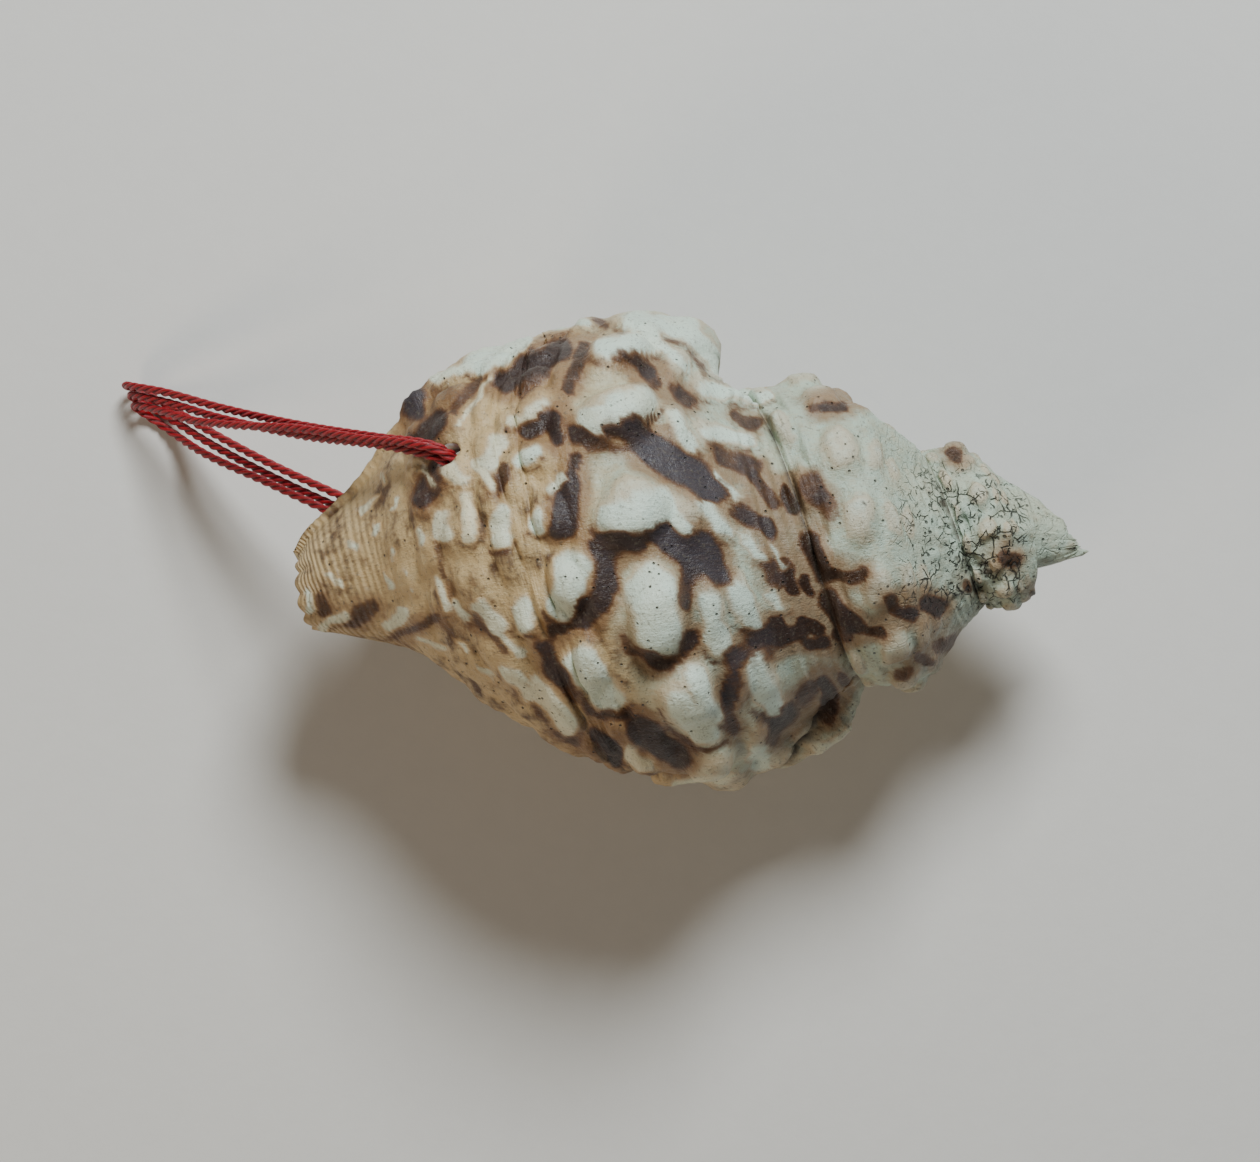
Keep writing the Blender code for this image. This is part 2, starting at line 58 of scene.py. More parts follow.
WHORL_EXPANSION = 1.78
CLIMB_AT = (60, 90, 109, 136, 165, 180, 218)
CLIMB = (1.0, 1.0, 0.985, 0.955, 0.885, 0.845, 0.79)
WIDTH_AT = (-900, -720, -540, -360, -270, -180, -90, 0, 90, 180, 200, 218)
WIDTH = (0.225, 0.30, 0.41, 0.60, 0.675, 0.75, 0.79, 0.90, 1.0, 1.05, 1.06, 1.09)

SIDE_DISTANCE = (40.9, 47.1, 51.4, 55.6, 60.8, 66.5, 70.2, 72.8)
SIDE_RADIUS = (18.1, 21.0, 23.4, 25.9, 27.4, 27.0, 26.5, 25.8)
SHOULDER, LANDING, FIRST_LOW, CANAL_END = 3, 7, 9, 16
LOW_AT = (-142, -90, -45, 0, 45, 90, 135, 180, 218)
LOW_DISTANCE = (
    (53.7, 58.4, 62.3, 66.1, 71.2, 76.7, 78.9, 74.7, 74.1),
    (56.4, 61.3, 65.6, 69.8, 74.7, 80.1, 82.1, 78.8, 77.7),
    (59.3, 64.5, 69.4, 74.2, 79.1, 83.8, 85.5, 83.0, 81.6),
    (62.5, 67.8, 73.0, 78.1, 83.0, 86.4, 87.7, 86.1, 84.7),
    (66.5, 72.0, 77.2, 82.1, 86.4, 89.1, 90.1, 89.5, 88.2),
    (72.0, 77.2, 82.1, 86.4, 90.6, 93.0, 94.6, 94.6, 93.4),
    (84.2, 88.2, 91.3, 93.8, 97.1, 99.1, 100.6, 100.7, 99.9),
    (97.7, 98.7, 99.5, 100.4, 102.3, 103.3, 103.3, 102.8, 102.3),
)
LOW_RADIUS = (
    (15.3, 17.6, 20.5, 23.2, 24.1, 24.9, 26.4, 27.8, 27.4),
    (12.7, 15.4, 18.3, 21.2, 22.5, 23.4, 25.4, 27.1, 26.8),
    (10.0, 12.5, 15.1, 18.1, 19.5, 21.0, 23.2, 25.9, 25.4),
    (7.6, 9.8, 12.0, 14.4, 16.6, 18.6, 21.0, 23.9, 23.2),
    (6.1, 7.3, 8.9, 10.5, 13.2, 15.9, 18.1, 19.5, 19.3),
    (5.4, 5.9, 6.5, 7.3, 9.5, 11.7, 13.2, 13.7, 13.2),
    (4.9, 5.1, 5.4, 5.5, 6.8, 8.3, 8.8, 8.1, 7.3),
    (4.2, 4.2, 4.0, 3.8, 5.1, 6.1, 6.1, 5.1, 4.4),
)
EDGE_AT = (0, 9, 10, 11, 12, 13, 14, 15, 16)
EDGE_ANGLE = (220, 220, 216, 210, 202, 192, 184, 190, 204)
EDGE_FROM = 50.0
INNER_AT = (12, 13, 14, 15, 16)
INNER_FORWARD = (0, 6, 12, 24, 32)
INNER_REACH = 80.0

# Knobbed cords: station, half width, height of the cord, height and half length of its knobs,
# and which of the two lists of knob angles it follows. The knobs crowd together near the lip.
CORDS = (
    (1.95, 0.5, 0.05, 0.55, 0.42, 0),
    (2.8, 0.52, 0.1, 0.9, 0.42, 0),
    (4.1, 0.9, 0.1, 2.4, 0.45, 0),
    (6.15, 0.85, 0.15, 1.7, 0.44, 1),
    (7.6, 0.75, 0.15, 0.9, 0.45, 1),
    (8.85, 0.75, 0.15, 0.95, 0.45, 1),
    (10.25, 0.8, 0.15, 0.85, 0.46, 1),
    (11.7, 0.75, 0.15, 0.65, 0.46, 1),
    (13.0, 0.6, 0.15, 0.3, 0.46, 1),
)
MAIN_CORD = 2
KNOB_ANGLES = (
    (-25, 1, 27, 53, 80, 105, 129, 153, 176, 198, 220),
    (-9, 17, 42, 66, 88, 105, 122, 136, 150, 163, 176, 189, 202, 215),
)
KNOB_PITCH, KNOB_LEAN = 26.0, (5.0, 1.0)
KNOB_SHIFT, KNOB_UNEVEN, KNOB_SEED = 0.06, 0.16, 20
KNOB_FLAT, KNOB_SQUARE = 0.3, 2.6
KNOB_STEP, KNOB_WANDER, CORD_WANDER = 0.3, 2.5, 0.1
WANDER_TURN, WANDER_SIDE = 14, 1.2
KNOBS_FADE, KNOBS_LEFT = (158, 178), 0.3

# Varices: growth angle, half width in degrees and share of the full height.
VARICES = ((-8, 17, 1.0), (-213, 13, 0.42), (-418, 13, 0.24), (-623, 12, 0.14))
VARIX_AT = (0, 0.4, 0.9, 2, 3, 4, 6, 8, 12, 14)
VARIX_HEIGHT = (0, 2.2, 4.2, 4.2, 3.0, 1.8, 2.2, 1.6, 0.4, 0)
VARIX_RISE, VARIX_FALL = 1.3, 0.7
FLARE_ANGLE, FLARE_HALF, FLARE_RISE, FLARE_FALL = 199.0, 20.0, 1.1, 3.0
FLARE_AT = (0, 1, 2, 3, 4, 5, 6, 8, 9, 11, 12, 14)
FLARE_HEIGHT = (0, 1.0, 2.8, 4.4, 3.6, 3.4, 3.6, 3.4, 2.4, 1.5, 0.6, 0)
SUTURE_MARGIN, LANDING_MARGIN = 0.25, 0.5

# The crevice behind the last varix, with the painted shadow that darkens it.
CREVICE_AT, CREVICE_ANGLE = (0, 0.2, 0.85, 1.5, 2.45, 3.25, 4), (22, 16, 2, -1, -3, -7, -10)
CREVICE_HALF, CREVICE_DEPTH, CREVICE_FADE = 2.2, 1.3, (-3.6, -2.4)
CREVICE_SHADOW_HALF, CREVICE_SHADOW_FADE = 1.5, (-3.4, -2.6)

# The fold where the flare of the lip starts.
FOLD_AT = (0, 2.2, 3.6, 4.7, 5.75, 8.85, 11.2, 13)
FOLD_ANGLE = (155, 159, 164, 174, 169, 160, 159, 160)
FOLD_HALF, FOLD_HEIGHT = 3.2, 0.9
DIP_PAST_FOLD, DIP_SHARE = 1.8, 0.7

# The end of the canal has shallow lobes, and what lies lowest is worn flat.
END_LOBE, END_PITCH, END_FROM = 0.6, 24.0, 15.0
WORN_BELOW = 0.9

# The rows of the sheet: stations from and to, and how many rows between them.
ROW_STRETCHES = ((0, 1, 25), (1, 3, 10), (3, 7, 40), (7, 16, 75))

# Threads between the cords: stations from and to, how many, and their height.
THREADS = (
    (0.08, 1.04, 4, 0.2),
    (1.2, 3.0, 5, 0.05),
    (3.1, 5.1, 5, 0.06),
    (5.2, 6.8, 5, 0.08),
    (7.0, 14.5, 22, 0.12),
)

# How much the valleys between the biggest cords are filled.
VALLEY_FILLS, VALLEY_HALF = ((5.15, 1.1), (6.95, 0.35)), 0.6

WALL = 1.9
RIM = ((0.1, 0.16), (0.25, 0.27), (0.45, 0.31), (0.65, 0.3), (0.85, 0.2), (1.0, 0.0))
RIM_SHARE = 0.3
FACE_STEPS = (0.5, 1.0)

LUMEN_PAST_LIP, LUMEN_END = 8.0, -60.0
LUMEN_LIP_STEP, LUMEN_LIP_END, LUMEN_DEEP_STEP = 1.0, 196.0, 4.0
LUMEN_TOP, LUMEN_POINTS = 0.9, 56
LUMEN_REACH_AT = (-60, 60, 110, 150, 175, 190)
LUMEN_REACH = (11.6, 12.4, 13.4, 14.6, 15.6, 16.0)
CANAL_FROM, CANAL_OPENS = 150.0, 80.0
LUMEN_INNER_FROM, LUMEN_INNER_TO, LUMEN_INNER_POINTS = 7.5, 11.0, 16
COLUMELLA_SHARE = 0.3
COLUMELLA_AT = (60, 66, 72, 84, 90, 98, 106)
COLUMELLA = (9.2, 7.0, 6.3, 5.6, 4.6, 2.6, 2.0)
CANAL_PAST_END, LEAST_GAP = 1.5, 1.8
CALLUS = 0.6

# Pairs of teeth inside the lip: the angle of their middle, half length, height and spacing.
TEETH_ANGLE, TEETH_HALF, TEETH_HEIGHT = 212.0, 9.0, 1.0
TEETH_FROM, TEETH_TO, TEETH_PAIRS = 2.6, 11.5, 7
TOOTH_IN_PAIR, TOOTH_HALF = (0.32, 0.68), 0.17

HOLE_ANGLE, HOLE_STATION, HOLE_RADIUS, HOLE_LENGTH = 128.0, 10.25, 1.7, 9.0
HOLE_SIDES = 64

STUMP_MIDDLE, STUMP_LEAN = (-12.0, -1.4, 0.2), 0.1
STUMP_RINGS = ((0.8, 12.0, 2.5), (0.6, 5.2, 1.5), (0.42, 2.2, 1.2), (0.2, 1.5, 0.6))
STUMP_STEPS, STUMP_PAST = 18, 30.0
BREAK_AT, BREAK_UNEVEN, BREAK_FOLD, BREAK_FLATTEN = 13.8, 0.5, 0.13, 0.85

# The cord, and its route from the knot inside the shell and back to it.
CORD_DIAMETER, CORD_SPACING, CORD_READINGS = 1.1, 0.2, 6000
CORD_LAY, CORD_SIDES, CORD_STRANDS, CORD_WAIST = 4.7, 24, 3, 0.22
FIRST_TURN = (
    (-29.3, 8.7, 31.5), (-25.4, 9, 37.8), (-27.4, 10.4, 40.6), (-28.9, 11.3, 42.3),
    (-30.1, 11.9, 42.3), (-31.2, 12.2, 41.6), (-36.3, 13, 36.9), (-47.1, 14.9, 25.9),
    (-57.8, 17.4, 15.5), (-66, 19.7, 8.6), (-69.7, 20.4, 5.1), (-70.6, 20.6, 3.3),
    (-69.8, 20.3, 1.4), (-67.9, 19.4, 0.7), (-65.9, 18.3, 1.6), (-61, 15.4, 5.6),
    (-51.5, 10.4, 13.1), (-42.2, 6.2, 19.4), (-38.2, 4.4, 21.5), (-30, 6.2, 31.4),
)
SECOND_TURN = (
    (-25.7, 7.8, 37.9), (-27.9, 9.3, 40.8), (-29.5, 10.3, 42.5), (-30.5, 10.7, 42.6),
    (-31.6, 11, 42), (-47.5, 13.7, 26.1), (-58.2, 16.2, 15.7), (-65.5, 18.4, 8.6),
    (-69.1, 19.2, 5.1), (-70, 19.3, 3.3), (-69.2, 18.8, 1.4), (-67.3, 17.7, 0.7),
    (-65.4, 16.6, 1.6), (-61, 13.9, 5.2), (-51.5, 8.9, 12.5), (-42.9, 5, 18.3),
    (-38.6, 3.2, 20.7), (-28.2, 4.6, 31.3),
)
THIRD_TURN = (
    (-24.5, 8, 38.6), (-26.9, 9.7, 41.4), (-28.9, 10.9, 43.3), (-30.4, 11.6, 43.4),
    (-32, 12, 42.8), (-38.6, 12.9, 36.5), (-47.9, 14.5, 27.3), (-56, 15.1, 19.7),
    (-62, 16, 13.2), (-66, 17.3, 8.3), (-68.6, 17.9, 5.1), (-69.5, 18, 3.3),
    (-68.7, 17.3, 1.4), (-66.8, 16, 0.7), (-64.9, 14.7, 1.6), (-61.3, 12.4, 5.8),
    (-51.7, 8, 13.8), (-43.2, 4.1, 19.1), (-40.6, 2.9, 20.6), (-37.8, 3.2, 23.5),
    (-35.8, 4.6, 26.4), (-31.9, 7.8, 29),
)
KNOT_AT, KNOT_SIZE, KNOT_RADIUS = (-0.0305, 0.0086, 0.0300), 0.00046, 0.00045
KNOT_FROM, KNOT_TO, KNOT_READINGS = -0.35, 2 * math.pi - 0.75, 400
KNOT_DEPTH, KNOT_LAY = 1.15, 0.8

# Where brown shows on the underside, down the side of the whorl.
BAND_AT = (0, 0.5, 1.0, 1.6, 2.4, 3.2, 4.1, 5.2, 6.0, 7.2, 8.9, 10, 11, 12, 13, 16)
BAND_DARK = (0.6, 0.8, 0.6, 0.4, 0.35, 0.6, 1.0, 0.7, 0.9, 0.5, 0.8, 0.6, 0.6, 0.5, 0.4, 0.3)

# The brown marks of the upper side, in millimetres as seen from above at the axis: the ends of
# each stroke, its half width, how dark it is and how grey.
AXIS_HEIGHT, HALO = 22.6, 2.8
MARK_REACH, MARK_SOFT = 1.75, 1.1
MARKS = (
    (-33.8, 18.7, -33.8, 16.6, 1.1, 0.8, 1), (-30.3, 16, -33.4, 13.2, 0.9, 0.9, 0.2),
    (-25.8, 20.1, -28.3, 17.2, 0.6, 0.5, 0.3), (-22.6, 20.5, -15.7, 23.9, 1.2, 0.85, 0.3),
    (-20.6, 18.7, -17.5, 20.8, 0.6, 0.5, 0), (-12.9, 24.2, -14.5, 19.7, 0.6, 0.7, 0),
    (-8.1, 23.9, -4.7, 21.5, 0.7, 0.8, 0.2), (-4.7, 21.5, -3.8, 19.9, 0.6, 0.7, 0.4),
    (-1.4, 19, 0.2, 17.8, 0.7, 0.7, 0.4), (-19.7, 14.2, -16.5, 15.6, 0.9, 0.9, 0.3),
    (-16.5, 15.6, -16.2, 13.2, 0.7, 0.8, 0.3), (-13.6, 13.7, -7.4, 15.1, 1.1, 0.95, 0.3),
    (-7.4, 15.1, -4.7, 12.2, 1.3, 1, 0.6), (-4.7, 12.2, 2.9, 7.1, 1.5, 1, 0.9),
    (-12, 12, -5.9, 12, 0.6, 0.5, 0.3), (-14.2, 7.7, -15.4, 2.4, 1.2, 1, 0.5),
    (-13.9, 10.7, -14.2, 7.7, 0.7, 0.7, 0.2), (-22.6, 10.1, -23.4, 7.1, 0.7, 0.6, 0.4),
    (-30.7, 9.5, -32.4, 6.2, 1.1, 0.7, 0.5), (-10.8, 0, -2.6, 2.1, 1.1, 1, 0.2),
    (-10.2, 1, -5.9, 0.4, 0.9, 0.9, 0.4), (-2.6, 2.1, 1.4, -1.5, 1.6, 0.95, 0.9),
    (1.4, 0.4, 3.6, -2.9, 1.3, 0.95, 0.9), (0.2, -2.1, -0.5, -6.3, 0.9, 0.7, 0.9),
    (-10.4, -1.5, -10, -5.1, 1, 0.75, 0.6), (-12.9, -8.5, -10.6, -6.3, 1.2, 1, 0.3),
    (-16.5, -10, -13.2, -9, 0.7, 0.9, 0), (-17.8, -11.8, -15.7, -16.1, 0.9, 0.7, 0.6),
    (-15.7, -16.1, -13.9, -18.6, 0.6, 0.5, 0.4), (-4.1, -13.9, 0.5, -11, 1, 0.9, 0.3),
    (-7.8, -11.2, -4.1, -14.3, 0.5, 0.4, 0.4), (-10.2, -20.1, -7.8, -20.6, 0.6, 0.8, 0),
    (-5.9, -22.2, -1.4, -25.3, 1.3, 1, 0.1), (-11.2, -23.1, -8.7, -25.5, 0.7, 0.85, 0.4),
    (-15.7, -22.6, -14.1, -23.4, 0.5, 0.6, 0), (5.7, -13.1, 4.8, -17.9, 0.9, 0.7, 0.9),
    (4.8, -17.9, 5.2, -22, 0.7, 0.6, 0.9), (9.3, -11.2, 8.5, -12.7, 1.6, 0.9, 0.6),
    (11.8, -11.2, 13.6, -10.3, 0.9, 0.9, 0.2), (12, -20.1, 11.2, -21.2, 1.2, 0.85, 0.4),
    (10.9, -21.6, 10.6, -23.2, 0.7, 0.6, 0.2), (6.3, 4.3, 10.2, 2.2, 0.9, 0.7, 0.7),
    (9.6, 3.2, 10, 2.2, 0.7, 0.7, 0.2), (10, -2.2, 10.2, -3.9, 1, 0.6, 0.9),
    (12, -3.3, 12.6, -4.8, 0.7, 0.95, 0.1), (14.1, -3.7, 14.7, -5.1, 0.6, 0.9, 0.1),
    (11.5, -1.5, 12.1, -2.4, 0.6, 0.7, 0.1), (5.7, 16.2, 7.8, 15, 0.7, 0.6, 0.4),
    (4.1, 11.4, 8.1, 9.5, 0.9, 0.6, 0.7), (8.1, 8.5, 10.6, 5.3, 0.6, 0.6, 0.6),
    (10.9, -9.2, 11.4, -10.4, 0.7, 0.9, 0.2), (13.6, -9, 16.1, -10, 0.6, 0.95, 0.1),
    (14.8, -11.8, 16.5, -11.6, 0.7, 0.8, 0.3), (16.3, -16.4, 17.3, -17.3, 0.7, 0.8, 0.1),
    (14.8, -17.1, 14.2, -18.1, 0.9, 0.55, 0.5), (18.5, -15.6, 19.1, -16.1, 0.5, 0.6, 0.1),
    (-41.3, -8.8, -38.5, -7.2, 0.9, 0.6, 0.1), (-33.2, -10, -30.7, -8.8, 0.6, 0.5, 0.1),
    (-45.2, -6.3, -44.4, -7.8, 0.7, 0.5, 0.1), (-35.2, -11.2, -33.8, -10.3, 0.5, 0.5, 0.1),
    (-31, 1.8, -30, -3.5, 0.5, 0.4, 0.4), (-25.8, -8.4, -22.6, -12.1, 0.6, 0.5, 0.6),
    (-29.1, -6.3, -26.7, -9.4, 0.5, 0.35, 0.4), (-11.1, 28.1, -10.1, 27.1, 0.6, 0.5, 0.8),
    (16.7, 17.5, 19.1, 17.2, 0.6, 0.7, 0.3), (15.2, 17.2, 15.8, 17.1, 0.6, 0.5, 0),
    (19.4, 19.7, 22.2, 18.4, 0.6, 0.7, 0.5), (32.2, 11.6, 33.2, 11.2, 0.6, 0.6, 0.2),
    (11.8, 6.8, 12.9, 4.9, 0.7, 1, 0), (14.8, 7.7, 15.6, 6.3, 1.1, 0.55, 0.7),
    (16.7, 5.5, 17.5, 4.4, 1, 0.35, 0), (14.8, 1, 16.9, -3.3, 1, 0.8, 0.1),
    (16.9, -3.3, 21.2, -3.2, 0.7, 0.7, 0.1), (16.9, -6.3, 20, -9.4, 1.1, 0.9, 0.2),
    (20, -10, 23.6, -10.3, 0.5, 0.7, 0), (18.3, -10.7, 19.1, -11.2, 0.7, 0.5, 0.6),
    (24.7, -6.1, 25.2, -7.8, 0.6, 0.65, 0), (26.6, -7.6, 27.4, -8.1, 0.9, 0.75, 0.5),
    (29.5, -6.7, 30.5, -7.2, 0.9, 0.8, 0.4), (33.9, -4.4, 34.2, -4.9, 0.6, 0.4, 0),
    (38.5, -1, 39.7, -1.2, 1, 0.6, 0), (43.2, -6, 44.1, -5.4, 0.5, 0.7, 0.1),
    (30.7, -11.5, 32.5, -11.4, 0.9, 0.5, 0.3), (28.3, -13.1, 29.5, -13.7, 0.7, 0.5, 0.4),
    (25.8, -15.1, 26.8, -14.9, 0.7, 0.5, 0.6), (17.6, -17.8, 16.7, -20.3, 0.9, 0.9, 0.1),
)

# The pale patches on the worn tops of the knobs, the same way: ends, half width and warmth.
# Below each patch a dark rim is painted, partly brown colour and partly shade under the knob.
PATCH_RISE, PATCH_FULL_HALF, PATCH_REACH, RIM_STAIN_AND_SHADE = 0.5, 2.2, 1.3, 0.6
PATCHES = (
    (-12, 16.2, -5.5, 18.5, 2.2, 0.15), (-8.6, 4.6, -3.9, 5.7, 2.9, 0.1),
    (-4.7, -4.1, -3.5, -9.4, 3.4, 0.1), (-21.4, 15.7, -17.3, 17.6, 1.2, 0.6),
    (-20.2, 11.2, -18.7, 12.2, 1.5, 0.1), (-16.5, 7.4, -15.6, 8.7, 1.2, 0.4),
    (-18.7, 3.9, -18.5, 2.7, 1.3, 0.2), (-14.1, -1.9, -15.2, -6.1, 2.4, 0.2),
    (-12.8, -13.5, -10, -17.5, 2.4, 0.2), (-6.7, -24.7, -5.2, -26.2, 1.2, 0.7),
    (-23.7, 13.2, -24.6, 10.5, 1.5, 0.6), (-23, 4.2, -23, 1.8, 1.5, 0.4),
    (-20.6, -6.8, -19.8, -9.2, 1.5, 0.4), (-18.5, -16.5, -14.7, -21.6, 1.5, 0.6),
    (-30.1, 4.2, -29.9, 1.4, 1.1, 0.6), (-27.2, 5.9, -27, 1.8, 1.3, 0.8),
    (-25.5, -6.3, -23.3, -9.3, 1.5, 0.5), (-22.2, -14.5, -19.7, -17.4, 1.2, 0.6),
    (-35.4, 6.3, -35.8, 4.6, 0.7, 0.5), (-38.3, 2.9, -38, 2.1, 0.8, 0.4),
    (-41, 0.7, -40.4, -0.2, 0.8, 0.4), (-36.3, 0, -36.2, -1.4, 0.6, 0.3),
    (-32.8, 2.7, -32.3, 0.7, 0.7, 0.4), (-37.1, 9.2, -36.9, 8.6, 0.7, 0.6),
    (-37.5, -2.6, -36.4, -4.7, 0.6, 0.4), (-34.6, -2.6, -33.4, -5.5, 0.5, 0.4),
    (-30.8, -4.1, -29.3, -7.6, 0.8, 0.5), (-28.3, -6.3, -27, -8.8, 0.8, 0.5),
    (-37.1, -9.8, -34.9, -7.5, 1.1, 0.5), (-46.9, -5.1, -46.2, -7.4, 0.8, 0.4),
    (-44.3, -9.4, -41.9, -8, 0.9, 0.7), (-43.8, -3.1, -42.6, -4.5, 0.8, 0.6),
    (-27.5, -12, -23.8, -16.3, 0.6, 0.5), (-32.6, -11.3, -29.5, -12, 0.6, 0.6),
    (-25.9, 23, -20.6, 26.1, 1.9, 0.1), (-19.4, 27, -12.8, 27.9, 1.1, 0.1),
    (-31.2, 20.8, -27.3, 22.2, 1.1, 0.4), (-27.7, 15.4, -24.2, 20.5, 0.7, 0.9),
    (-10.8, 24.4, -4.5, 26.2, 1.5, 0.05), (-32.6, 9.9, -31.2, 8.3, 0.9, 0.8),
    (-25.9, 9.9, -24.2, 7.9, 1, 0.8), (-29.5, 9.9, -27.5, 8.3, 1, 0.8),
    (-38.5, 6.3, -39.5, 4.6, 0.8, 0.8), (-22.6, -10.4, -20.2, -12.9, 0.8, 0.6),
    (-40.5, -3.1, -38.9, -5.1, 0.6, 0.5), (-6.4, 28.2, -0.7, 27.6, 1.9, 0),
    (-0.7, 27.6, 5.2, 21.4, 1.6, 0), (-10.5, 24.5, -4.2, 25.2, 1.4, 0),
    (-4.2, 25.2, -0.3, 22.4, 1, 0), (-1.7, 16.2, 0.5, 12.7, 1.4, 0.05),
    (2.5, 19.3, 9.6, 18.9, 1.2, 0), (2.3, 14.1, 7.3, 13.4, 1.2, 0),
    (-3.1, 7.1, -0.7, 2.9, 1.5, 0), (2.1, 5.5, 4.3, 2.1, 1.3, 0),
    (3.5, 9.2, 6, 6.3, 0.8, 0), (7.3, 1.8, 8.8, -0.9, 0.9, 0),
    (10.2, 0.5, 11.9, -2, 0.7, 0), (6, -4.3, 7.8, -8.6, 1.6, 0),
    (2.5, -5.7, 3.8, -11.8, 1.7, 0), (10.1, -5.1, 11.2, -7.2, 1, 0),
    (-0.9, -18.9, 1.8, -22, 2.1, 0.2), (0.9, -15.1, 2.8, -20.1, 1.8, 0.1),
    (8.4, -13.5, 10.2, -18.7, 1.9, 0), (8.7, -24.3, 8.8, -26.4, 1.4, 0.1),
    (15.7, -25.9, 19.7, -22.2, 1.4, 0.6), (-1.7, -28.5, 5.2, -27.8, 0.9, 0.6),
)

# Holes eaten into the spire and by the seam, seen the same way, with their radius.
PITS = (
    (31, 5.7, 0.3), (31.3, 5.1, 0.25), (35.9, -1.9, 0.3), (36.1, -2.9, 0.35),
    (33.1, -1, 0.2), (12.9, 4.5, 0.4), (16.9, 3.2, 0.15), (21.6, 5.7, 0.12),
    (42.4, -5.6, 0.25), (-1.3, -6.6, 0.22),
)

# What is drawn from above fades out between these heights, and its edges are shaken by noises:
# the size of their lumps, their seed and how far they move the edge.
DRAWN_FROM, RAISED_FROM = (11, 17), (14, 20)
EDGE_NOISES, PATCH_NOISE = ((2.2, 5, 0.5), (0.8, 7, 0.12)), (1.4, 9, 0.4)

# Where the sea has eaten into the shell: each pair is where it starts and where it is full.
EATEN_X, EATEN_Z, EATEN_Y, EATEN_BACK = (22.5, 29), (10, 20), (-10, -5), (-12, -6)
SPIRE_X, SPIRE_WORN, STUMP_X, STUMP_SPARED = (12, 34), 0.2, (39.5, 41.5), 0.8

# Dents all over the shell: the size of their lumps, their seed and their depth.
DENTS = ((6.0, 21, 0.14), (1.7, 22, 0.05))
CHIP_DEPTH, GRAIN_DEPTH = 0.45, 0.16

# Colours: red, green, blue and cover.
# Each cool and warm pair is mixed by the warmth, which is partly the shell's tan and partly painted warm
# light from the left and below.
LIGHT_COOL, LIGHT_WARM = (0.46, 0.55, 0.44, 1), (0.60, 0.46, 0.25, 1)
TAN, DARK_BROWN = (0.56, 0.40, 0.20, 1), (0.10, 0.048, 0.021, 1)
WORN_COOL, WORN_WARM = (0.52, 0.44, 0.30, 1), (0.60, 0.36, 0.14, 1)
PALE_COOL, PALE_WARM = (0.64, 0.75, 0.63, 1), (0.78, 0.66, 0.42, 1)
HALO_BROWN, MARK_BROWN = (0.26, 0.14, 0.06, 1), (0.13, 0.053, 0.02, 1)
CORE_BROWN, CORE_SLATE = (0.020, 0.008, 0.004, 1), (0.042, 0.043, 0.056, 1)
EATEN, GROOVE = (0.03, 0.03, 0.026, 1), (0.05, 0.035, 0.022, 1)
SPECK = (0.13, 0.11, 0.08, 1)
LINING_WARM, LINING_COOL = (0.78, 0.70, 0.60, 1), (0.82, 0.80, 0.74, 1)
CORD_DARK, CORD_BRIGHT = (0.20, 0.001, 0.005, 1), (0.45, 0.004, 0.012, 1)
# The darkest cord colour is painted shade in the grooves between the strands.
CORD_DIRT, CORD_GAP_SHADE = (0.25, 0.012, 0.015, 1), (0.07, 0.001, 0.003, 1)
FLOOR_DARK, FLOOR_LIGHT = (0.72, 0.70, 0.66, 1), (0.76, 0.74, 0.70, 1)

# Worm tracks: the scale of their cells, their width and how much of them is left out.
TRACKS, TRACK_WANDER = ((420.0, 0.05, 0.47), (900.0, 0.09, 0.5)), 0.0016
PIT_SCALE, RIBS_A_STATION = 700.0, 7.0
RELIEF_OF_NOISE = 0.0005
LINING = 1
DEGREES_A_UNIT = 10

# The camera, in millimetres, and the lights: name, place, size, power and colour.
SEEN_FROM = (-7.14, -4.03, 642.6)
CAMERA_LENS, SENSOR, CAMERA_CLIP = 145.1, 36.0, (0.01, 20.0)
LIGHTS = (
    ("key_light", (0.10, 0.46, 0.53), 0.26, 6.4, (0.91, 0.97, 1.0)),
    ("fill_light", (-0.42, -0.40, 0.34), 0.2, 1.3, (1.0, 0.82, 0.60)),
)
LIGHTS_AIM = (0, 0, 0.02)
SKY_COLOUR, SKY_STRENGTH, FLOOR_SIZE = (0.9, 0.95, 1.0, 1), 0.08, 1.5


def ease(u):
    """A smooth rise from 0 to 1."""
    u = np.clip(u, 0, 1)
    return u * u * (3 - 2 * u)


def between(x, low, high):
    return ease((np.asarray(x, float) - low) / (high - low))


def keyed(x, keys, values):
    """A smooth curve through values given at keys, flat outside them."""
    k = np.asarray(keys, float)
    v = np.asarray(values, float)
    x = np.clip(np.asarray(x, float), k[0], k[-1])
    slope = np.diff(v) / np.diff(k)
    tangent = np.concatenate(([slope[0]], slope, [slope[-1]]))
    before, after = np.diff(k, prepend=k[0]), np.diff(k, append=k[-1])
    tangent = (tangent[:-1] * after + tangent[1:] * before) / (before + after)
    tangent[0], tangent[-1] = slope[0], slope[-1]
    i = np.clip(np.searchsorted(k, x, side="right") - 1, 0, len(k) - 2)
    h = k[i + 1] - k[i]
    u = (x - k[i]) / h
    start = (1 + 2 * u) * (1 - u) ** 2 * v[i] + u * (1 - u) ** 2 * h * tangent[i]
    end = u * u * (3 - 2 * u) * v[i + 1] - u * u * (1 - u) * h * tangent[i + 1]
    return start + end


def mixed_up(values):
    """Numbers from -1 to 1 that look random, the same ones every time."""
    return 2 * np.modf(np.abs(np.sin(values)) * HASH_SCALE)[0] - 1


def noise(points, size, seed):
    """Smooth noise from -1 to 1, with lumps about size apart."""
    p = np.asarray(points, float) / size
    cell = np.floor(p)
    share = ease(p - cell)
    weights = np.array(HASH_WEIGHTS)[: p.shape[-1]]
    total = np.zeros(p.shape[:-1])
    for corner in itertools.product((0, 1), repeat=p.shape[-1]):
        value = mixed_up((cell + corner) @ weights + seed * HASH_SEED)
        total += np.prod(np.where(corner, share, 1 - share), axis=-1) * value
    return total


def unit(vectors):
    return vectors / np.linalg.norm(vectors, axis=-1, keepdims=True)


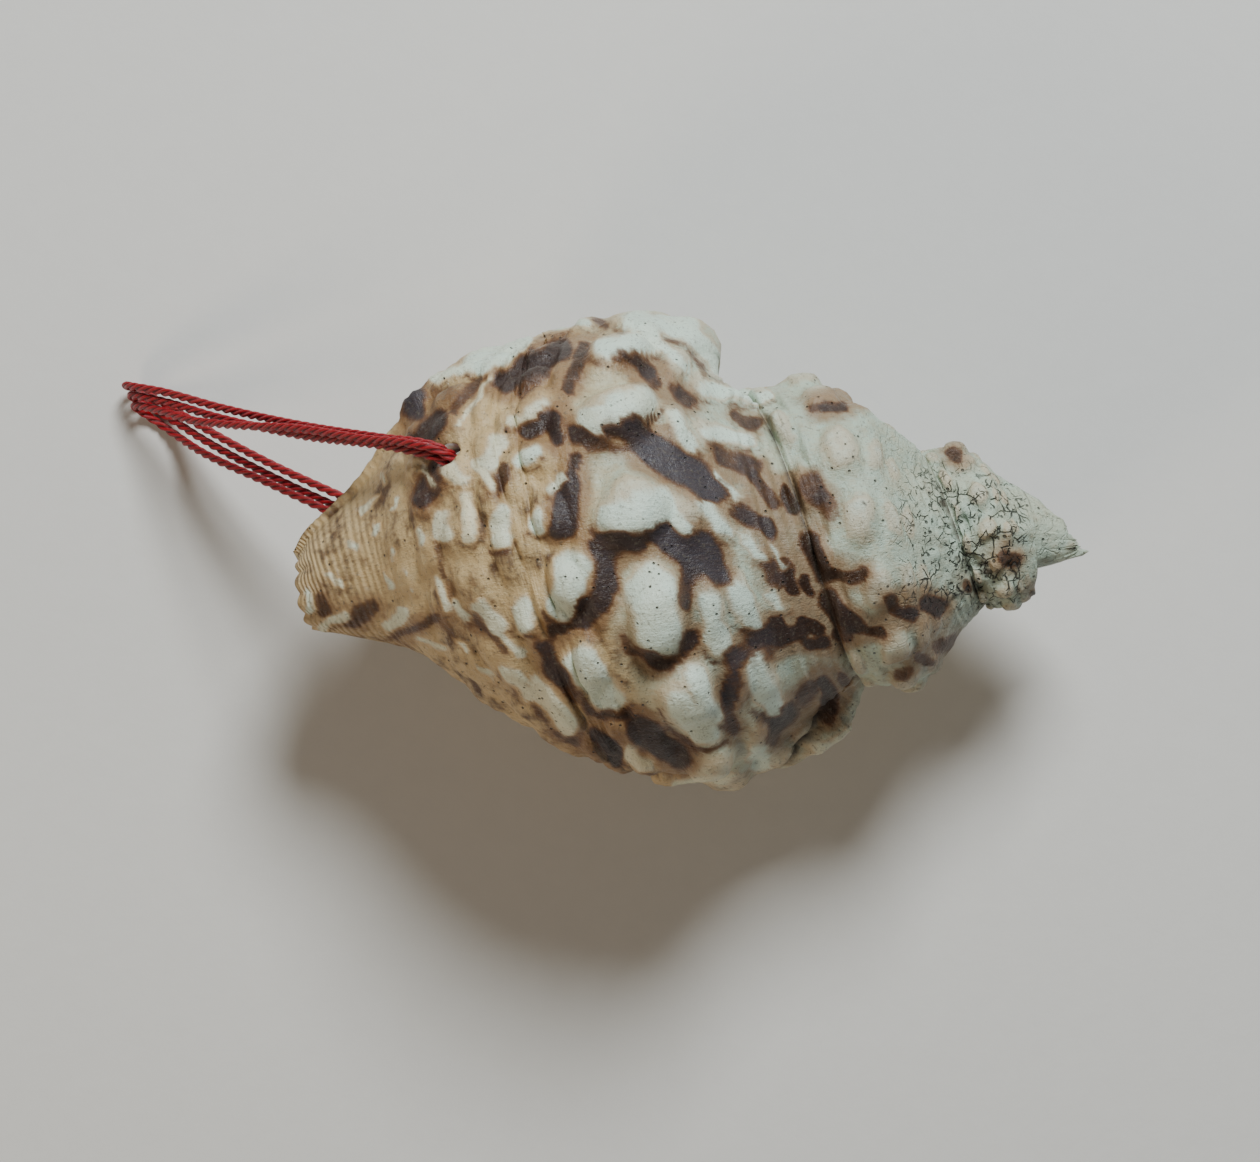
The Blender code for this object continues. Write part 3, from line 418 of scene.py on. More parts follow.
def run_along(curve):
    """The distance from the start of a curve to each of its points."""
    return np.cumsum(np.r_[0, np.linalg.norm(np.diff(curve, axis=0), axis=1)])


def spaced(curve, count):
    """So many points of a curve, an even distance apart."""
    run = run_along(curve)
    at = np.linspace(0, run[-1], count)
    return np.stack([np.interp(at, run, curve[:, axis]) for axis in range(3)], axis=-1)


def evenly(curve, spacing):
    """Points of a curve about this distance apart."""
    return spaced(curve, int(round(run_along(curve)[-1] / spacing)) + 1)


def length_scale(t):
    return WHORL_EXPANSION ** ((t - 90) / TURN) * keyed(t, CLIMB_AT, CLIMB)


def width_scale(t):
    return np.exp(keyed(t, WIDTH_AT, np.log(WIDTH)))


def stations(t):
    """Distance down the axis and radius of every station, for a list of growth angles."""
    landing_a, landing_r = SIDE_DISTANCE[LANDING], SIDE_RADIUS[LANDING]
    a = np.zeros((len(t), CANAL_END + 1))
    r = np.zeros_like(a)
    a[:, : LANDING + 1] = np.outer(length_scale(t), SIDE_DISTANCE)
    r[:, : LANDING + 1] = np.outer(width_scale(t), SIDE_RADIUS)
    suture_a = landing_a * length_scale(t - TURN)
    suture_r = landing_r * width_scale(t - TURN)
    for values, start, table in ((a, suture_a, SIDE_DISTANCE), (r, suture_r, SIDE_RADIUS)):
        shoulder = values[:, SHOULDER].copy()
        for j in range(SHOULDER):
            share = (table[j] - table[0]) / (table[SHOULDER] - table[0])
            values[:, j] = start + share * (shoulder - start)
    inner = np.clip(length_scale(t) / length_scale(LOW_AT[0]), 0, 1)
    for j in range(FIRST_LOW, CANAL_END + 1):
        a[:, j] = keyed(t, LOW_AT, LOW_DISTANCE[j - FIRST_LOW]) * inner
        r[:, j] = keyed(t, LOW_AT, LOW_RADIUS[j - FIRST_LOW]) * inner
    middle = LANDING + 1
    a[:, middle] = (a[:, LANDING] + a[:, FIRST_LOW]) / 2
    r[:, middle] = (r[:, LANDING] + r[:, FIRST_LOW]) / 2 + 0.12
    return a, r


def down_the_side(values, v):
    """Reads a smooth curve through each row of station values, at one station per row."""
    last = values.shape[1] - 1
    row = np.arange(len(v))
    i = np.clip(np.floor(v).astype(int), 0, last - 1)
    u = v - i
    here, ahead = values[row, i], values[row, i + 1]
    behind = np.where(i > 0, values[row, np.maximum(i - 1, 0)], 2 * here - ahead)
    beyond = np.where(i < last - 1, values[row, np.minimum(i + 2, last)], 2 * ahead - here)
    bend = 2 * behind - 5 * here + 4 * ahead - beyond
    twist = 3 * here - behind - 3 * ahead + beyond
    return (2 * here + (ahead - behind) * u + bend * u**2 + twist * u**3) / 2


def plain_whorl(t, v):
    """Points without relief, in the shell's own frame: x up the axis, z away from the back."""
    a, r = stations(t)
    a, r = down_the_side(a, v), down_the_side(r, v)
    angle = np.radians(t)
    return np.stack([-a, -r * np.cos(angle), r * np.sin(angle)], axis=-1)


def outward(t, v):
    """The direction that faces out of the plain whorl."""
    dt, dv = 0.5, 0.02
    v = np.clip(v, dv, CANAL_END - dv)
    along = plain_whorl(t + dt, v) - plain_whorl(t - dt, v)
    down = plain_whorl(t, v + dv) - plain_whorl(t, v - dv)
    normal = unit(np.cross(down, along))
    point = plain_whorl(t, v)
    inside_out = (normal[:, 1:] * point[:, 1:]).sum() < 0
    return -normal if inside_out else normal


def lump(x, half):
    u = np.clip(np.abs(x) / half, 0, 1)
    return (1 - u * u) ** 2


def scatter(i, seed):
    """A repeatable number from -1 to 1 for each whole number."""
    return mixed_up((i + 0.37) * HASH_WEIGHTS[0] + seed * HASH_WEIGHTS[1])


def ridge(t, at, half, rise, fall):
    u = (t - at) / half
    return ease(np.where(u < 0, 1 + u / rise, 1 - u / fall))


def block(x, half, flat):
    """A lump with a flat top and soft sides."""
    return ease((half - np.abs(x)) / (half * (1 - flat)))


def knob_phase(t, v, which, at):
    """Counts knobs along a cord: a whole number in the middle of each."""
    angles = np.asarray(KNOB_ANGLES[which], float)
    t = t + (v - at) * KNOB_LEAN[which]
    early = (t - angles[0]) / KNOB_PITCH
    return np.where(t < angles[0], early, np.interp(t, angles, np.arange(len(angles))))


def knobs(t, v):
    """Height of the knobbed cords, and how much of a knob is at each point."""
    height, cover = np.zeros_like(t), np.zeros_like(t)
    grown_at = np.stack([t / WANDER_TURN, v * WANDER_SIDE], axis=-1)
    t = t + KNOB_WANDER * noise(grown_at, 1.0, 31)
    v = v + CORD_WANDER * noise(grown_at, 1.0, 32)
    start, end = KNOBS_FADE
    fade = 1 - (1 - KNOBS_LEFT) * between(t, start, end)
    for n, (at, half, cord, knob, knob_half, which) in enumerate(CORDS):
        phase = knob_phase(t, v, which, at) + KNOB_STEP * which * (n % 3)
        k = np.round(phase)
        uneven = 1 + KNOB_UNEVEN * scatter(k, n + KNOB_SEED)
        along = np.abs(phase - k - KNOB_SHIFT * scatter(k, n)) / knob_half
        across = np.abs(v - at) / half
        reach = (along**KNOB_SQUARE + across**KNOB_SQUARE) ** (1 / KNOB_SQUARE)
        round_top = ease((1 - reach) / (1 - KNOB_FLAT))
        height += block(v - at, half, KNOB_FLAT) * cord + round_top * knob * uneven * fade
        cover = np.maximum(cover, round_top)
    return height, cover


def relief(t, v):
    """Height over the plain whorl: cords, threads, varices, the flare, the fold and the crevice."""
    size = WHORL_EXPANSION ** ((t - 90) / TURN)
    height = size * knobs(t, v)[0]
    for low, high, count, tall in THREADS:
        wave = 0.5 - 0.5 * np.cos(2 * np.pi * count * np.clip((v - low) / (high - low), 0, 1))
        height += size * tall * wave
    for at, fill in VALLEY_FILLS:
        height += size * fill * block(v - at, VALLEY_HALF, 0.2)
    varix = keyed(v, VARIX_AT, VARIX_HEIGHT)
    for at, half, scale in VARICES:
        height += ridge(t, at, half, VARIX_RISE, VARIX_FALL) * scale * varix
    flare = keyed(v, FLARE_AT, FLARE_HEIGHT)
    height += ridge(t, FLARE_ANGLE, FLARE_HALF, FLARE_RISE, FLARE_FALL) * flare
    fold = t - keyed(v, FOLD_AT, FOLD_ANGLE)
    dip = block(fold - DIP_PAST_FOLD * FOLD_HALF, FOLD_HALF, 0.1)
    height += FOLD_HEIGHT * (block(fold, FOLD_HALF, 0.1) - DIP_SHARE * dip)
    gap = block(t - keyed(v, CREVICE_AT, CREVICE_ANGLE), CREVICE_HALF, 0.1)
    height -= CREVICE_DEPTH * gap * between(-v, *CREVICE_FADE)
    at_suture = ease(v / SUTURE_MARGIN)
    at_landing = np.where(t < FULL_ANGLE, ease((LANDING - v) / LANDING_MARGIN), 1.0)
    return height * at_suture * at_landing


def leaning(t, v):
    """The growth angle where a column of the sheet crosses a station."""
    back = LIP_ANGLE - keyed(v, EDGE_AT, EDGE_ANGLE)
    forward = keyed(v, INNER_AT, INNER_FORWARD)
    late = between(t, EDGE_FROM, LIP_ANGLE)
    early = 1 - ease((t - FULL_ANGLE) / INNER_REACH)
    return t - back * late + forward * np.where(t < FULL_ANGLE, 0, early)


def grown(t, v):
    """Points of the finished outside, for columns t and stations v."""
    angle = leaning(t, v)
    points = plain_whorl(angle, v) + outward(angle, v) * relief(angle, v)[:, None]
    lobe = END_LOBE * (1 - np.abs(np.sin(angle * math.pi / END_PITCH)))
    points[:, 0] += lobe * between(v, END_FROM, CANAL_END)
    return points


def world_matrix():
    """From the shell's frame in millimetres to where it lies, in metres."""
    turn = math.radians(AXIS_TURN)
    c, s = math.cos(turn) * MM, math.sin(turn) * MM
    x, y, z = (p * MM for p in APEX_AT)
    return np.array([[c, -s, 0, x], [s, c, 0, y], [0, 0, MM, z], [0, 0, 0, 1]])


def to_world(points):
    m = world_matrix()
    return np.asarray(points, float) @ m[:3, :3].T + m[:3, 3]


def add_node(tree, kind, inputs=None, **settings):
    """Adds a node, and sets or links its inputs by name or number."""
    node = tree.nodes.new(kind)
    for name, value in settings.items():
        setattr(node, name, value)
    for socket, value in (inputs or {}).items():
        if isinstance(value, bpy.types.NodeSocket):
            tree.links.new(value, node.inputs[socket])
        else:
            node.inputs[socket].default_value = value
    return node


def calc(tree, operation, *values, clamp=False):
    inputs = dict(enumerate(values))
    return add_node(tree, "ShaderNodeMath", inputs, operation=operation, use_clamp=clamp).outputs[0]


def times(tree, first, second, clamp=False):
    return calc(tree, "MULTIPLY", first, second, clamp=clamp)


def plus(tree, value, *more, clamp=False):
    """The sum of two or more values."""
    rest = plus(tree, *more) if len(more) > 1 else more[0]
    return calc(tree, "ADD", value, rest, clamp=clamp)


def rise(tree, value, low, high, start=0.0, end=1.0):
    """A smooth step of a value."""
    inputs = {"Value": value, "From Min": low, "From Max": high, "To Min": start, "To Max": end}
    return add_node(tree, "ShaderNodeMapRange", inputs, interpolation_type="SMOOTHSTEP").outputs[0]


def blend(tree, factor, first, second):
    inputs = {0: factor, 6: first, 7: second}
    return add_node(tree, "ShaderNodeMix", inputs, data_type="RGBA").outputs[2]


def noise_at(tree, vector, scale, detail, roughness, distortion=0.0):
    inputs = {"Vector": vector, "Scale": scale, "Detail": detail}
    inputs.update({"Roughness": roughness, "Distortion": distortion})
    return add_node(tree, "ShaderNodeTexNoise", inputs).outputs["Fac"]


def channels(tree, name):
    """The four values of a colour attribute."""
    values = add_node(tree, "ShaderNodeAttribute", attribute_name=name).outputs
    split = add_node(tree, "ShaderNodeSeparateColor", {0: values["Color"]}).outputs
    return split[0], split[1], split[2], values["Alpha"]


def uv_of(tree, name):
    return add_node(tree, "ShaderNodeUVMap", uv_map=name).outputs[0]


def one_axis(tree, vector, axis):
    return add_node(tree, "ShaderNodeSeparateXYZ", {0: vector}).outputs[axis]


def stretched(tree, vector, *scale):
    return add_node(tree, "ShaderNodeMapping", {"Vector": vector, "Scale": scale}).outputs[0]


def new_material(name):
    look = bpy.data.materials.new(name)
    look.use_nodes = True
    tree = look.node_tree
    return look, tree, tree.nodes["Principled BSDF"]


def finish_surface(tree, shader, colour, roughness, height, distance):
    tree.links.new(colour, shader.inputs["Base Color"])
    tree.links.new(roughness, shader.inputs["Roughness"])
    inputs = {"Height": height, "Distance": distance, "Strength": 1.0}
    tree.links.new(add_node(tree, "ShaderNodeBump", inputs).outputs[0], shader.inputs["Normal"])


def object_coordinates(tree):
    return add_node(tree, "ShaderNodeTexCoord").outputs["Object"]


def worm_tracks(tree, place):
    """Fine, broken lines, where worms have eaten into the surface."""
    wander = add_node(tree, "ShaderNodeTexNoise", {"Vector": place, "Scale": 420.0, "Detail": 2.0})
    bent = blend(tree, TRACK_WANDER, place, wander.outputs["Color"])
    track = 0.0
    for scale, width, low in TRACKS:
        inputs = {"Vector": bent, "Scale": scale}
        cells = add_node(tree, "ShaderNodeTexVoronoi", inputs, feature="DISTANCE_TO_EDGE")
        line = rise(tree, cells.outputs["Distance"], 0.0, width, 1.0, 0.0)
        broken = rise(tree, noise_at(tree, place, scale * 0.8, 3, 0.6), low, low + 0.09)
        track = calc(tree, "MAXIMUM", track, times(tree, line, broken))
    return track


def outside_material():
    """Worn, chalky shell with brown marks that follow its growth."""
    look, tree, shader = new_material("worn_shell")
    place, growth = object_coordinates(tree), uv_of(tree, "growth")
    dark, warm, worn, groove = channels(tree, "paint")
    grey, chalk, tan, halo = channels(tree, "tint")
    coarse = noise_at(tree, place, 150, 3, 0.6)
    medium = noise_at(tree, place, 480, 4, 0.65)
    fine = noise_at(tree, place, 2200, 3, 0.65)
    growth_lines = noise_at(tree, stretched(tree, growth, 5.0, 0.8, 1), 3.0, 5, 0.7, 0.4)
    cord_lines = noise_at(tree, stretched(tree, growth, 0.6, 1.5, 1), 2.0, 3, 0.6)

    def stirred(value, *parts, clamp=False):
        """A value made uneven by noises, each with its amount."""
        uneven = [times(tree, calc(tree, "SUBTRACT", part, 0.5), amount) for part, amount in parts]
        return plus(tree, value, *uneven, clamp=clamp)

    # The warmth is partly the shell's own tan and partly painted warm light from the left and below.
    warmth = stirred(warm, (coarse, 0.8), clamp=True)
    brown = rise(tree, stirred(coarse, (cord_lines, 0.5), (medium, 0.4)), 0.46, 0.74)
    ground = stirred(tan, (growth_lines, 0.9), (medium, 0.9), clamp=True)
    light_ground = blend(tree, warmth, LIGHT_COOL, LIGHT_WARM)
    colour = blend(tree, ground, light_ground, blend(tree, brown, TAN, DARK_BROWN))

    whiten = stirred(chalk, (medium, 0.8), (cord_lines, 0.25), clamp=True)
    colour = blend(tree, rise(tree, whiten, 0.05, 0.55), colour, blend(tree, warmth, WORN_COOL, WORN_WARM))
    colour = blend(tree, rise(tree, whiten, 0.3, 0.95), colour, blend(tree, warmth, PALE_COOL, PALE_WARM))

    soft = stirred(halo, (medium, 0.5), (coarse, 0.4))
    colour = blend(tree, rise(tree, soft, 0.1, 0.75, 0.0, 0.8), colour, HALO_BROWN)
    mark = stirred(dark, (medium, 0.6), (growth_lines, 0.35))
    colour = blend(tree, rise(tree, mark, 0.05, 0.45, 0.0, 0.9), colour, MARK_BROWN)
    core = times(tree, rise(tree, mark, 0.25, 0.8), rise(tree, growth_lines, 0.2, 0.75, 0.97, 0.78))
    core_colour = blend(tree, stirred(grey, (coarse, 0.5), clamp=True), CORE_BROWN, CORE_SLATE)
    colour = blend(tree, core, colour, core_colour)

    pits = add_node(tree, "ShaderNodeTexVoronoi", {"Vector": place, "Scale": PIT_SCALE}).outputs["Distance"]
    pit = rise(tree, plus(tree, pits, times(tree, worn, -0.06)), 0.05, 0.14, 1.0, 0.0)
    pit = times(tree, pit, rise(tree, coarse, 0.4, 0.52))
    eaten = times(tree, worm_tracks(tree, place), worn, clamp=True)
    spoilt = calc(tree, "MAXIMUM", times(tree, eaten, 0.9), times(tree, pit, 0.8))
    colour = blend(tree, spoilt, colour, EATEN)
    # Darker along the seam, one thread and the eaten holes, and in the crevice, where the darkening is
    # painted shadow.
    groove_darkening = times(tree, groove, rise(tree, medium, 0.25, 0.6, 0.35, 1.0), clamp=True)
    colour = blend(tree, groove_darkening, colour, GROOVE)
    colour = blend(tree, rise(tree, fine, 0.57, 0.67, 0.0, 0.5), colour, SPECK)

    roughness = rise(tree, plus(tree, medium, times(tree, worn, 0.3)), 0.3, 0.8, 0.3, 0.62)
    height = 0.0
    for part, amount in ((medium, 0.45), (fine, 0.3), (growth_lines, 0.2), (cord_lines, 0.4)):
        height = plus(tree, height, times(tree, part, amount))
    station = one_axis(tree, growth, 1)
    ribs = calc(tree, "COSINE", times(tree, station, 2 * math.pi * RIBS_A_STATION))
    ribs = times(tree, ribs, rise(tree, station, 13.0, 14.6, 0.0, 0.16))
    height = plus(tree, calc(tree, "SUBTRACT", height, spoilt), ribs)
    finish_surface(tree, shader, colour, roughness, height, RELIEF_OF_NOISE)
    shader.inputs["Specular IOR Level"].default_value = 0.4
    return look


def inside_material():
    """The smooth lining, like porcelain."""
    look, tree, shader = new_material("smooth_lining")
    place = object_coordinates(tree)
    coarse = noise_at(tree, place, 90, 3, 0.5)
    fine = noise_at(tree, place, 900, 3, 0.6)
    colour = blend(tree, coarse, LINING_WARM, LINING_COOL)
    height = plus(tree, coarse, times(tree, fine, 0.2))
    finish_surface(tree, shader, colour, rise(tree, fine, 0.3, 0.7, 0.16, 0.32), height, 0.0002)
    return look


def cord_material():
    """Twisted red thread with a satin surface."""
    look, tree, shader = new_material("red_satin_cord")
    along = uv_of(tree, "strand")
    around = one_axis(tree, along, 0)
    strand = calc(tree, "COSINE", times(tree, around, 2 * math.pi * CORD_STRANDS))
    fibre = noise_at(tree, stretched(tree, along, 60, 2.5, 1), 1.0, 3, 0.6)
    dirt = noise_at(tree, object_coordinates(tree), 700, 3, 0.6)
    colour = blend(tree, rise(tree, fibre, 0.3, 0.7), CORD_DARK, CORD_BRIGHT)
    colour = blend(tree, rise(tree, dirt, 0.5, 0.8, 0.0, 0.4), colour, CORD_DIRT)
    # Painted shade darkens the grooves between the strands.
    colour = blend(tree, rise(tree, strand, -1.0, 0.1, 0.85, 0.0), colour, CORD_GAP_SHADE)
    finish_surface(tree, shader, colour, rise(tree, fibre, 0.2, 0.8, 0.3, 0.46), fibre, 0.00006)
    shader.inputs["Sheen Weight"].default_value = 0.04
    shader.inputs["Sheen Roughness"].default_value = 0.4
    return look


def floor_material():
    look, tree, shader = new_material("pale_floor")
    grain = noise_at(tree, object_coordinates(tree), 300, 4, 0.6)
    colour = blend(tree, grain, FLOOR_DARK, FLOOR_LIGHT)
    finish_surface(tree, shader, colour, rise(tree, grain, 0, 1, 0.75, 0.9), grain, 0.00005)
    return look


def add_object(name, data, *looks):
    o = bpy.data.objects.new(name, data)
    bpy.context.scene.collection.objects.link(o)
    for look in looks:
        data.materials.append(look)
    return o


def finished_mesh(name, bm, look=0):
    bmesh.ops.recalc_face_normals(bm, faces=bm.faces)
    for face in bm.faces:
        face.material_index = look
    mesh = bpy.data.meshes.new(name)
    bm.to_mesh(mesh)
    bm.free()
    mesh.shade_smooth()
    return mesh


def write_uv(faces, layer, pair_of):
    """Gives every corner of the faces the pair that belongs to its vertex."""
    for face in faces:
        for loop in face.loops:
            loop[layer].uv = pair_of(loop.vert.index)


def grid_cells(bm, columns, rows):
    """A flat grid, and each vertex's column and row."""
    bmesh.ops.create_grid(bm, x_segments=columns, y_segments=rows, size=1)
    co = np.array([v.co for v in bm.verts])
    column = np.rint((co[:, 0] + 1) / 2 * columns).astype(int)
    row = np.rint((co[:, 1] + 1) / 2 * rows).astype(int)
    return column, row


def move_to(verts, points):
    for vert, point in zip(verts, points):
        vert.co = point


def rim_points(outer, inner, past, depth, bulge):
    """Points of the lip's rim: in from the outer edge, and a little past it."""
    across = inner - outer
    width = np.linalg.norm(across, axis=-1, keepdims=True)
    across = across / np.maximum(width, 1e-6)
    thickness = np.minimum(WALL, RIM_SHARE * width)
    return outer + across * thickness * depth + past * thickness * bulge


def face_points(v, step):
    """Points of the face that closes the mouth, which the hollow then cuts open."""
    lip = np.full(len(v), LIP_ANGLE)
    full = np.full(len(v), FULL_ANGLE)
    outer = grown(lip, v)
    inner = grown(full, np.maximum(v, LANDING))
    past = unit(outer - grown(lip - 1, v))
    if step < len(RIM):
        return rim_points(outer, inner, past, *RIM[step])
    edge = rim_points(outer, inner, past, *RIM[-1])
    return edge + (inner - edge) * FACE_STEPS[step - len(RIM)]


def fill_hole(bm, edges):
    filled = bmesh.ops.holes_fill(bm, edges=edges)["faces"]
    return bmesh.ops.poke(bm, faces=filled)["faces"]


def worn_share(place):
    """How far the sea has eaten into the shell: most of it near the top of the spire."""
    x, y, z = place.T
    share = between(x, *EATEN_X) * between(z, *EATEN_Z) * between(y, *EATEN_Y) * between(-y, *EATEN_BACK)
    share = np.maximum(share, between(x, *SPIRE_X) * SPIRE_WORN)
    return share * (1 - STUMP_SPARED * between(x, *STUMP_X))


def weather(bm):
    """Wears the surface: dents all over it, patches raised, and chips where the sea has eaten."""
    bm.normal_update()
    place = np.array([v.co for v in bm.verts]) / MM
    facing = np.array([v.normal for v in bm.verts])
    depth = sum(deep * noise(place, size, seed) for size, seed, deep in DENTS)
    chips = np.clip(noise(place, 2.4, 23) + 0.5 * noise(place, 1.1, 24) - 0.15, 0, 1)
    depth -= worn_share(place) * (CHIP_DEPTH * chips + GRAIN_DEPTH * noise(place, 0.8, 25))
    raised = patches_from_above(place, 0.3)[2]
    depth += PATCH_RISE * raised * between(place[:, 2], *RAISED_FROM)
    depth *= between(place[:, 2], 0.5, 3)
    move_to(bm.verts, (place + facing * depth[:, None]) * MM)


def broken_off(points):
    """Folds what stands past the break at the top of the spire in over it."""
    past = np.maximum(points[:, 0] + BREAK_AT + BREAK_UNEVEN * noise(points, 3.0, 41), 0)[:, None]
    middle = np.array(STUMP_MIDDLE)
    folded = middle + (points - middle) * (1 - BREAK_FOLD * past)
    folded[:, 0] = points[:, 0] - BREAK_FLATTEN * past[:, 0]
    return folded


def close_spire(bm, edges):
    """Fills the top of the spire with the uneven stump of the whorls that broke off."""
    to_shell = Matrix(world_matrix()).inverted()
    to_floor = to_shell.inverted()
    middle = Vector(STUMP_MIDDLE)
    paths = {}
    for v in {v for e in edges for v in e.verts}:
        points, last_share = [to_shell @ v.co], 1.0
        for n, (share, out, uneven) in enumerate(STUMP_RINGS):
            spoke = (points[-1] - middle) * (share / last_share)
            bump = uneven * float(scatter(round(spoke.y) + round(spoke.z) * 7, n))
            step = Vector((out * (1 - STUMP_LEAN * spoke.y) + bump, 0, 0)) * (1 - share)
            points.append(middle + spoke + step)
            last_share = share
        paths[v] = np.array(points)
    inward = [-1.0] + [-ring[0] for ring in STUMP_RINGS]
    for n in range(1, STUMP_STEPS + 1):
        share = 1 - (1 + inward[-1]) * n / STUMP_STEPS
        new = bmesh.ops.extrude_edge_only(bm, edges=edges)["geom"]
        edges = [g for g in new if isinstance(g, bmesh.types.BMEdge) and g.is_boundary]
        moved = {}
        for vert in [g for g in new if isinstance(g, bmesh.types.BMVert)]:
            path = next(paths[e.other_vert(vert)] for e in vert.link_edges if e.other_vert(vert) in paths)
            at = [np.interp(-share, inward, path[:, axis]) for axis in range(3)]
            vert.co = to_floor @ Vector(at)
            moved[vert] = path
        paths = moved
    return fill_hole(bm, edges)


def row_stations():
    rows = [np.linspace(low, high, count, endpoint=False) for low, high, count in ROW_STRETCHES]
    return np.concatenate(rows + [[CANAL_END]])


def shell_outside():
    rows = row_stations()
    bm = bmesh.new()
    face_columns = len(RIM) + len(FACE_STEPS)
    column, row = grid_cells(bm, SPIRE_COLUMNS + face_columns, len(rows) - 1)
    landing_row = int(np.searchsorted(rows, LANDING))
    full_column = SPIRE_COLUMNS - COLUMNS_PER_TURN
    points = np.zeros((len(column), 3))
    side = column <= SPIRE_COLUMNS
    angle = SPIRE_ANGLE + np.minimum(column, SPIRE_COLUMNS) * COLUMN_STEP
    points[side] = broken_off(grown(angle[side], rows[row[side]]))
    for step in range(face_columns):
        here = column == SPIRE_COLUMNS + 1 + step
        points[here] = face_points(rows[row[here]], step)
    world = to_world(points)
    world[world[:, 2] < WORN_BELOW * MM, 2] = 0
    bm.verts.ensure_lookup_table()
    move_to(bm.verts, world)
    leaned = leaning(angle, rows[row])
    growth = bm.loops.layers.uv.new("growth")
    write_uv(bm.faces, growth, lambda i: (leaned[i] / DEGREES_A_UNIT, rows[row[i]]))
    unborn = [bm.verts[i] for i in np.flatnonzero((row > landing_row) & (column < full_column))]
    bmesh.ops.delete(bm, geom=unborn, context="VERTS")
    bmesh.ops.remove_doubles(bm, verts=bm.verts, dist=0.002 * MM)
    open_edges = [e for e in bm.edges if e.is_boundary]
    at_spire = [e for e in open_edges if e.verts[0].co.x > STUMP_PAST * MM]
    elsewhere = [e for e in open_edges if e.verts[0].co.x <= STUMP_PAST * MM]
    before = set(bm.faces)
    close_spire(bm, at_spire)
    fill_hole(bm, elsewhere)
    write_uv(set(bm.faces) - before, growth, lambda i: (SPIRE_ANGLE / DEGREES_A_UNIT, SHOULDER))
    bmesh.ops.recalc_face_normals(bm, faces=bm.faces)
    weather(bm)
    return finished_mesh("shell_body", bm)


def zipped(ring):
    """Brings the two halves of a ring together, which closes the end of a tube."""
    return (ring + ring[::-1]) / 2


def solid_from_rings(name, rings):
    """A closed tube through rings of points, each ring the same number of points."""
    rings = [zipped(rings[0])] + rings + [zipped(rings[-1])]
    bm = bmesh.new()
    sides = len(rings[0])
    column, row = grid_cells(bm, len(rings) - 1, sides)
    points = np.array(rings)[column, row % sides]
    move_to(bm.verts, to_world(points))
    bmesh.ops.remove_doubles(bm, verts=bm.verts, dist=0.0005 * MM)
    return finished_mesh(name, bm, LINING)


def tooth(t, v):
    """Height of the teeth inside the lip."""
    share = (v - TEETH_FROM) / (TEETH_TO - TEETH_FROM)
    pair = np.mod(share * TEETH_PAIRS, 1)
    apart = np.minimum(*(np.abs(pair - middle) for middle in TOOTH_IN_PAIR))
    inside = (share > 0) & (share < 1)
    return np.where(inside, lump(apart, TOOTH_HALF), 0) * lump(t - TEETH_ANGLE, TEETH_HALF) * TEETH_HEIGHT


def lumen_ring(t):
    """One section of the hollow: down the inside of the wall, then back up the columella."""
    reach = float(keyed(t, LUMEN_REACH_AT, LUMEN_REACH))
    v = LUMEN_TOP + (reach - LUMEN_TOP) * np.linspace(0, 1, LUMEN_POINTS)
    opened = ease((t - CANAL_FROM) / CANAL_OPENS)
    angle = t + keyed(v, INNER_AT, INNER_FORWARD) * opened
    outer = plain_whorl(angle, v) - outward(angle, v) * (WALL + tooth(angle, v))[:, None]
    outer[-1, 0] -= CANAL_PAST_END * ease(reach - CANAL_END + 1)
    count = int(LUMEN_POINTS * COLUMELLA_SHARE)
    column = outer[-count:].copy()
    radius = np.hypot(column[:, 1], column[:, 2])
    core = keyed(-column[:, 0], COLUMELLA_AT, COLUMELLA)
    column[:, 1:] *= (core / radius)[:, None]
    wide = np.maximum(radius, core + LEAST_GAP)
    outer[-count:, 1:] *= (wide / radius)[:, None]
    v = np.linspace(LUMEN_INNER_FROM, LUMEN_INNER_TO, LUMEN_INNER_POINTS)
    before = np.full(len(v), t - TURN)
    inner = plain_whorl(before, v) + outward(before, v) * CALLUS
    back = spaced(np.concatenate([inner, column]), LUMEN_POINTS)
    return np.concatenate([outer, back[::-1]])


def lumen():
    near = np.arange(LIP_ANGLE + LUMEN_PAST_LIP, LUMEN_LIP_END, -LUMEN_LIP_STEP)
    deep = np.arange(LUMEN_LIP_END, LUMEN_END, -LUMEN_DEEP_STEP)
    return solid_from_rings("lumen_cutter", [lumen_ring(t) for t in np.concatenate([near, deep])])


def drill():
    t, v = np.array([HOLE_ANGLE]), np.array([HOLE_STATION])
    centre = Vector(to_world(plain_whorl(t, v))[0])
    tip = Vector(to_world(plain_whorl(t, v) + outward(t, v))[0])
    bm = bmesh.new()
    radius = HOLE_RADIUS * MM
    bmesh.ops.create_cone(
        bm, cap_ends=True, segments=HOLE_SIDES, radius1=radius, radius2=radius, depth=HOLE_LENGTH * MM
    )
    turn = (tip - centre).to_track_quat("Z", "Y").to_matrix().to_4x4()
    bmesh.ops.transform(bm, matrix=Matrix.Translation(centre) @ turn, verts=bm.verts)
    return finished_mesh("hole_cutter", bm, LINING)


def cut(shell, mesh):
    """Cuts a mesh out of the shell for good."""
    cutter = add_object(mesh.name, mesh, *shell.data.materials)
    tool = shell.modifiers.new(mesh.name, "BOOLEAN")
    tool.operation = "DIFFERENCE"
    tool.solver = "EXACT"
    tool.object = cutter
    depsgraph = bpy.context.evaluated_depsgraph_get()
    result = bpy.data.meshes.new_from_object(shell.evaluated_get(depsgraph))
    shell.modifiers.clear()
    shell.data = result
    bpy.data.objects.remove(cutter, do_unlink=True)


def shaken(flat, uneven, size, seed, reach):
    """Moves flat points about by noises that are smooth over the size."""
    return flat + np.stack([noise(flat, size, seed), noise(flat, size, seed + 1)], axis=-1) * reach * uneven


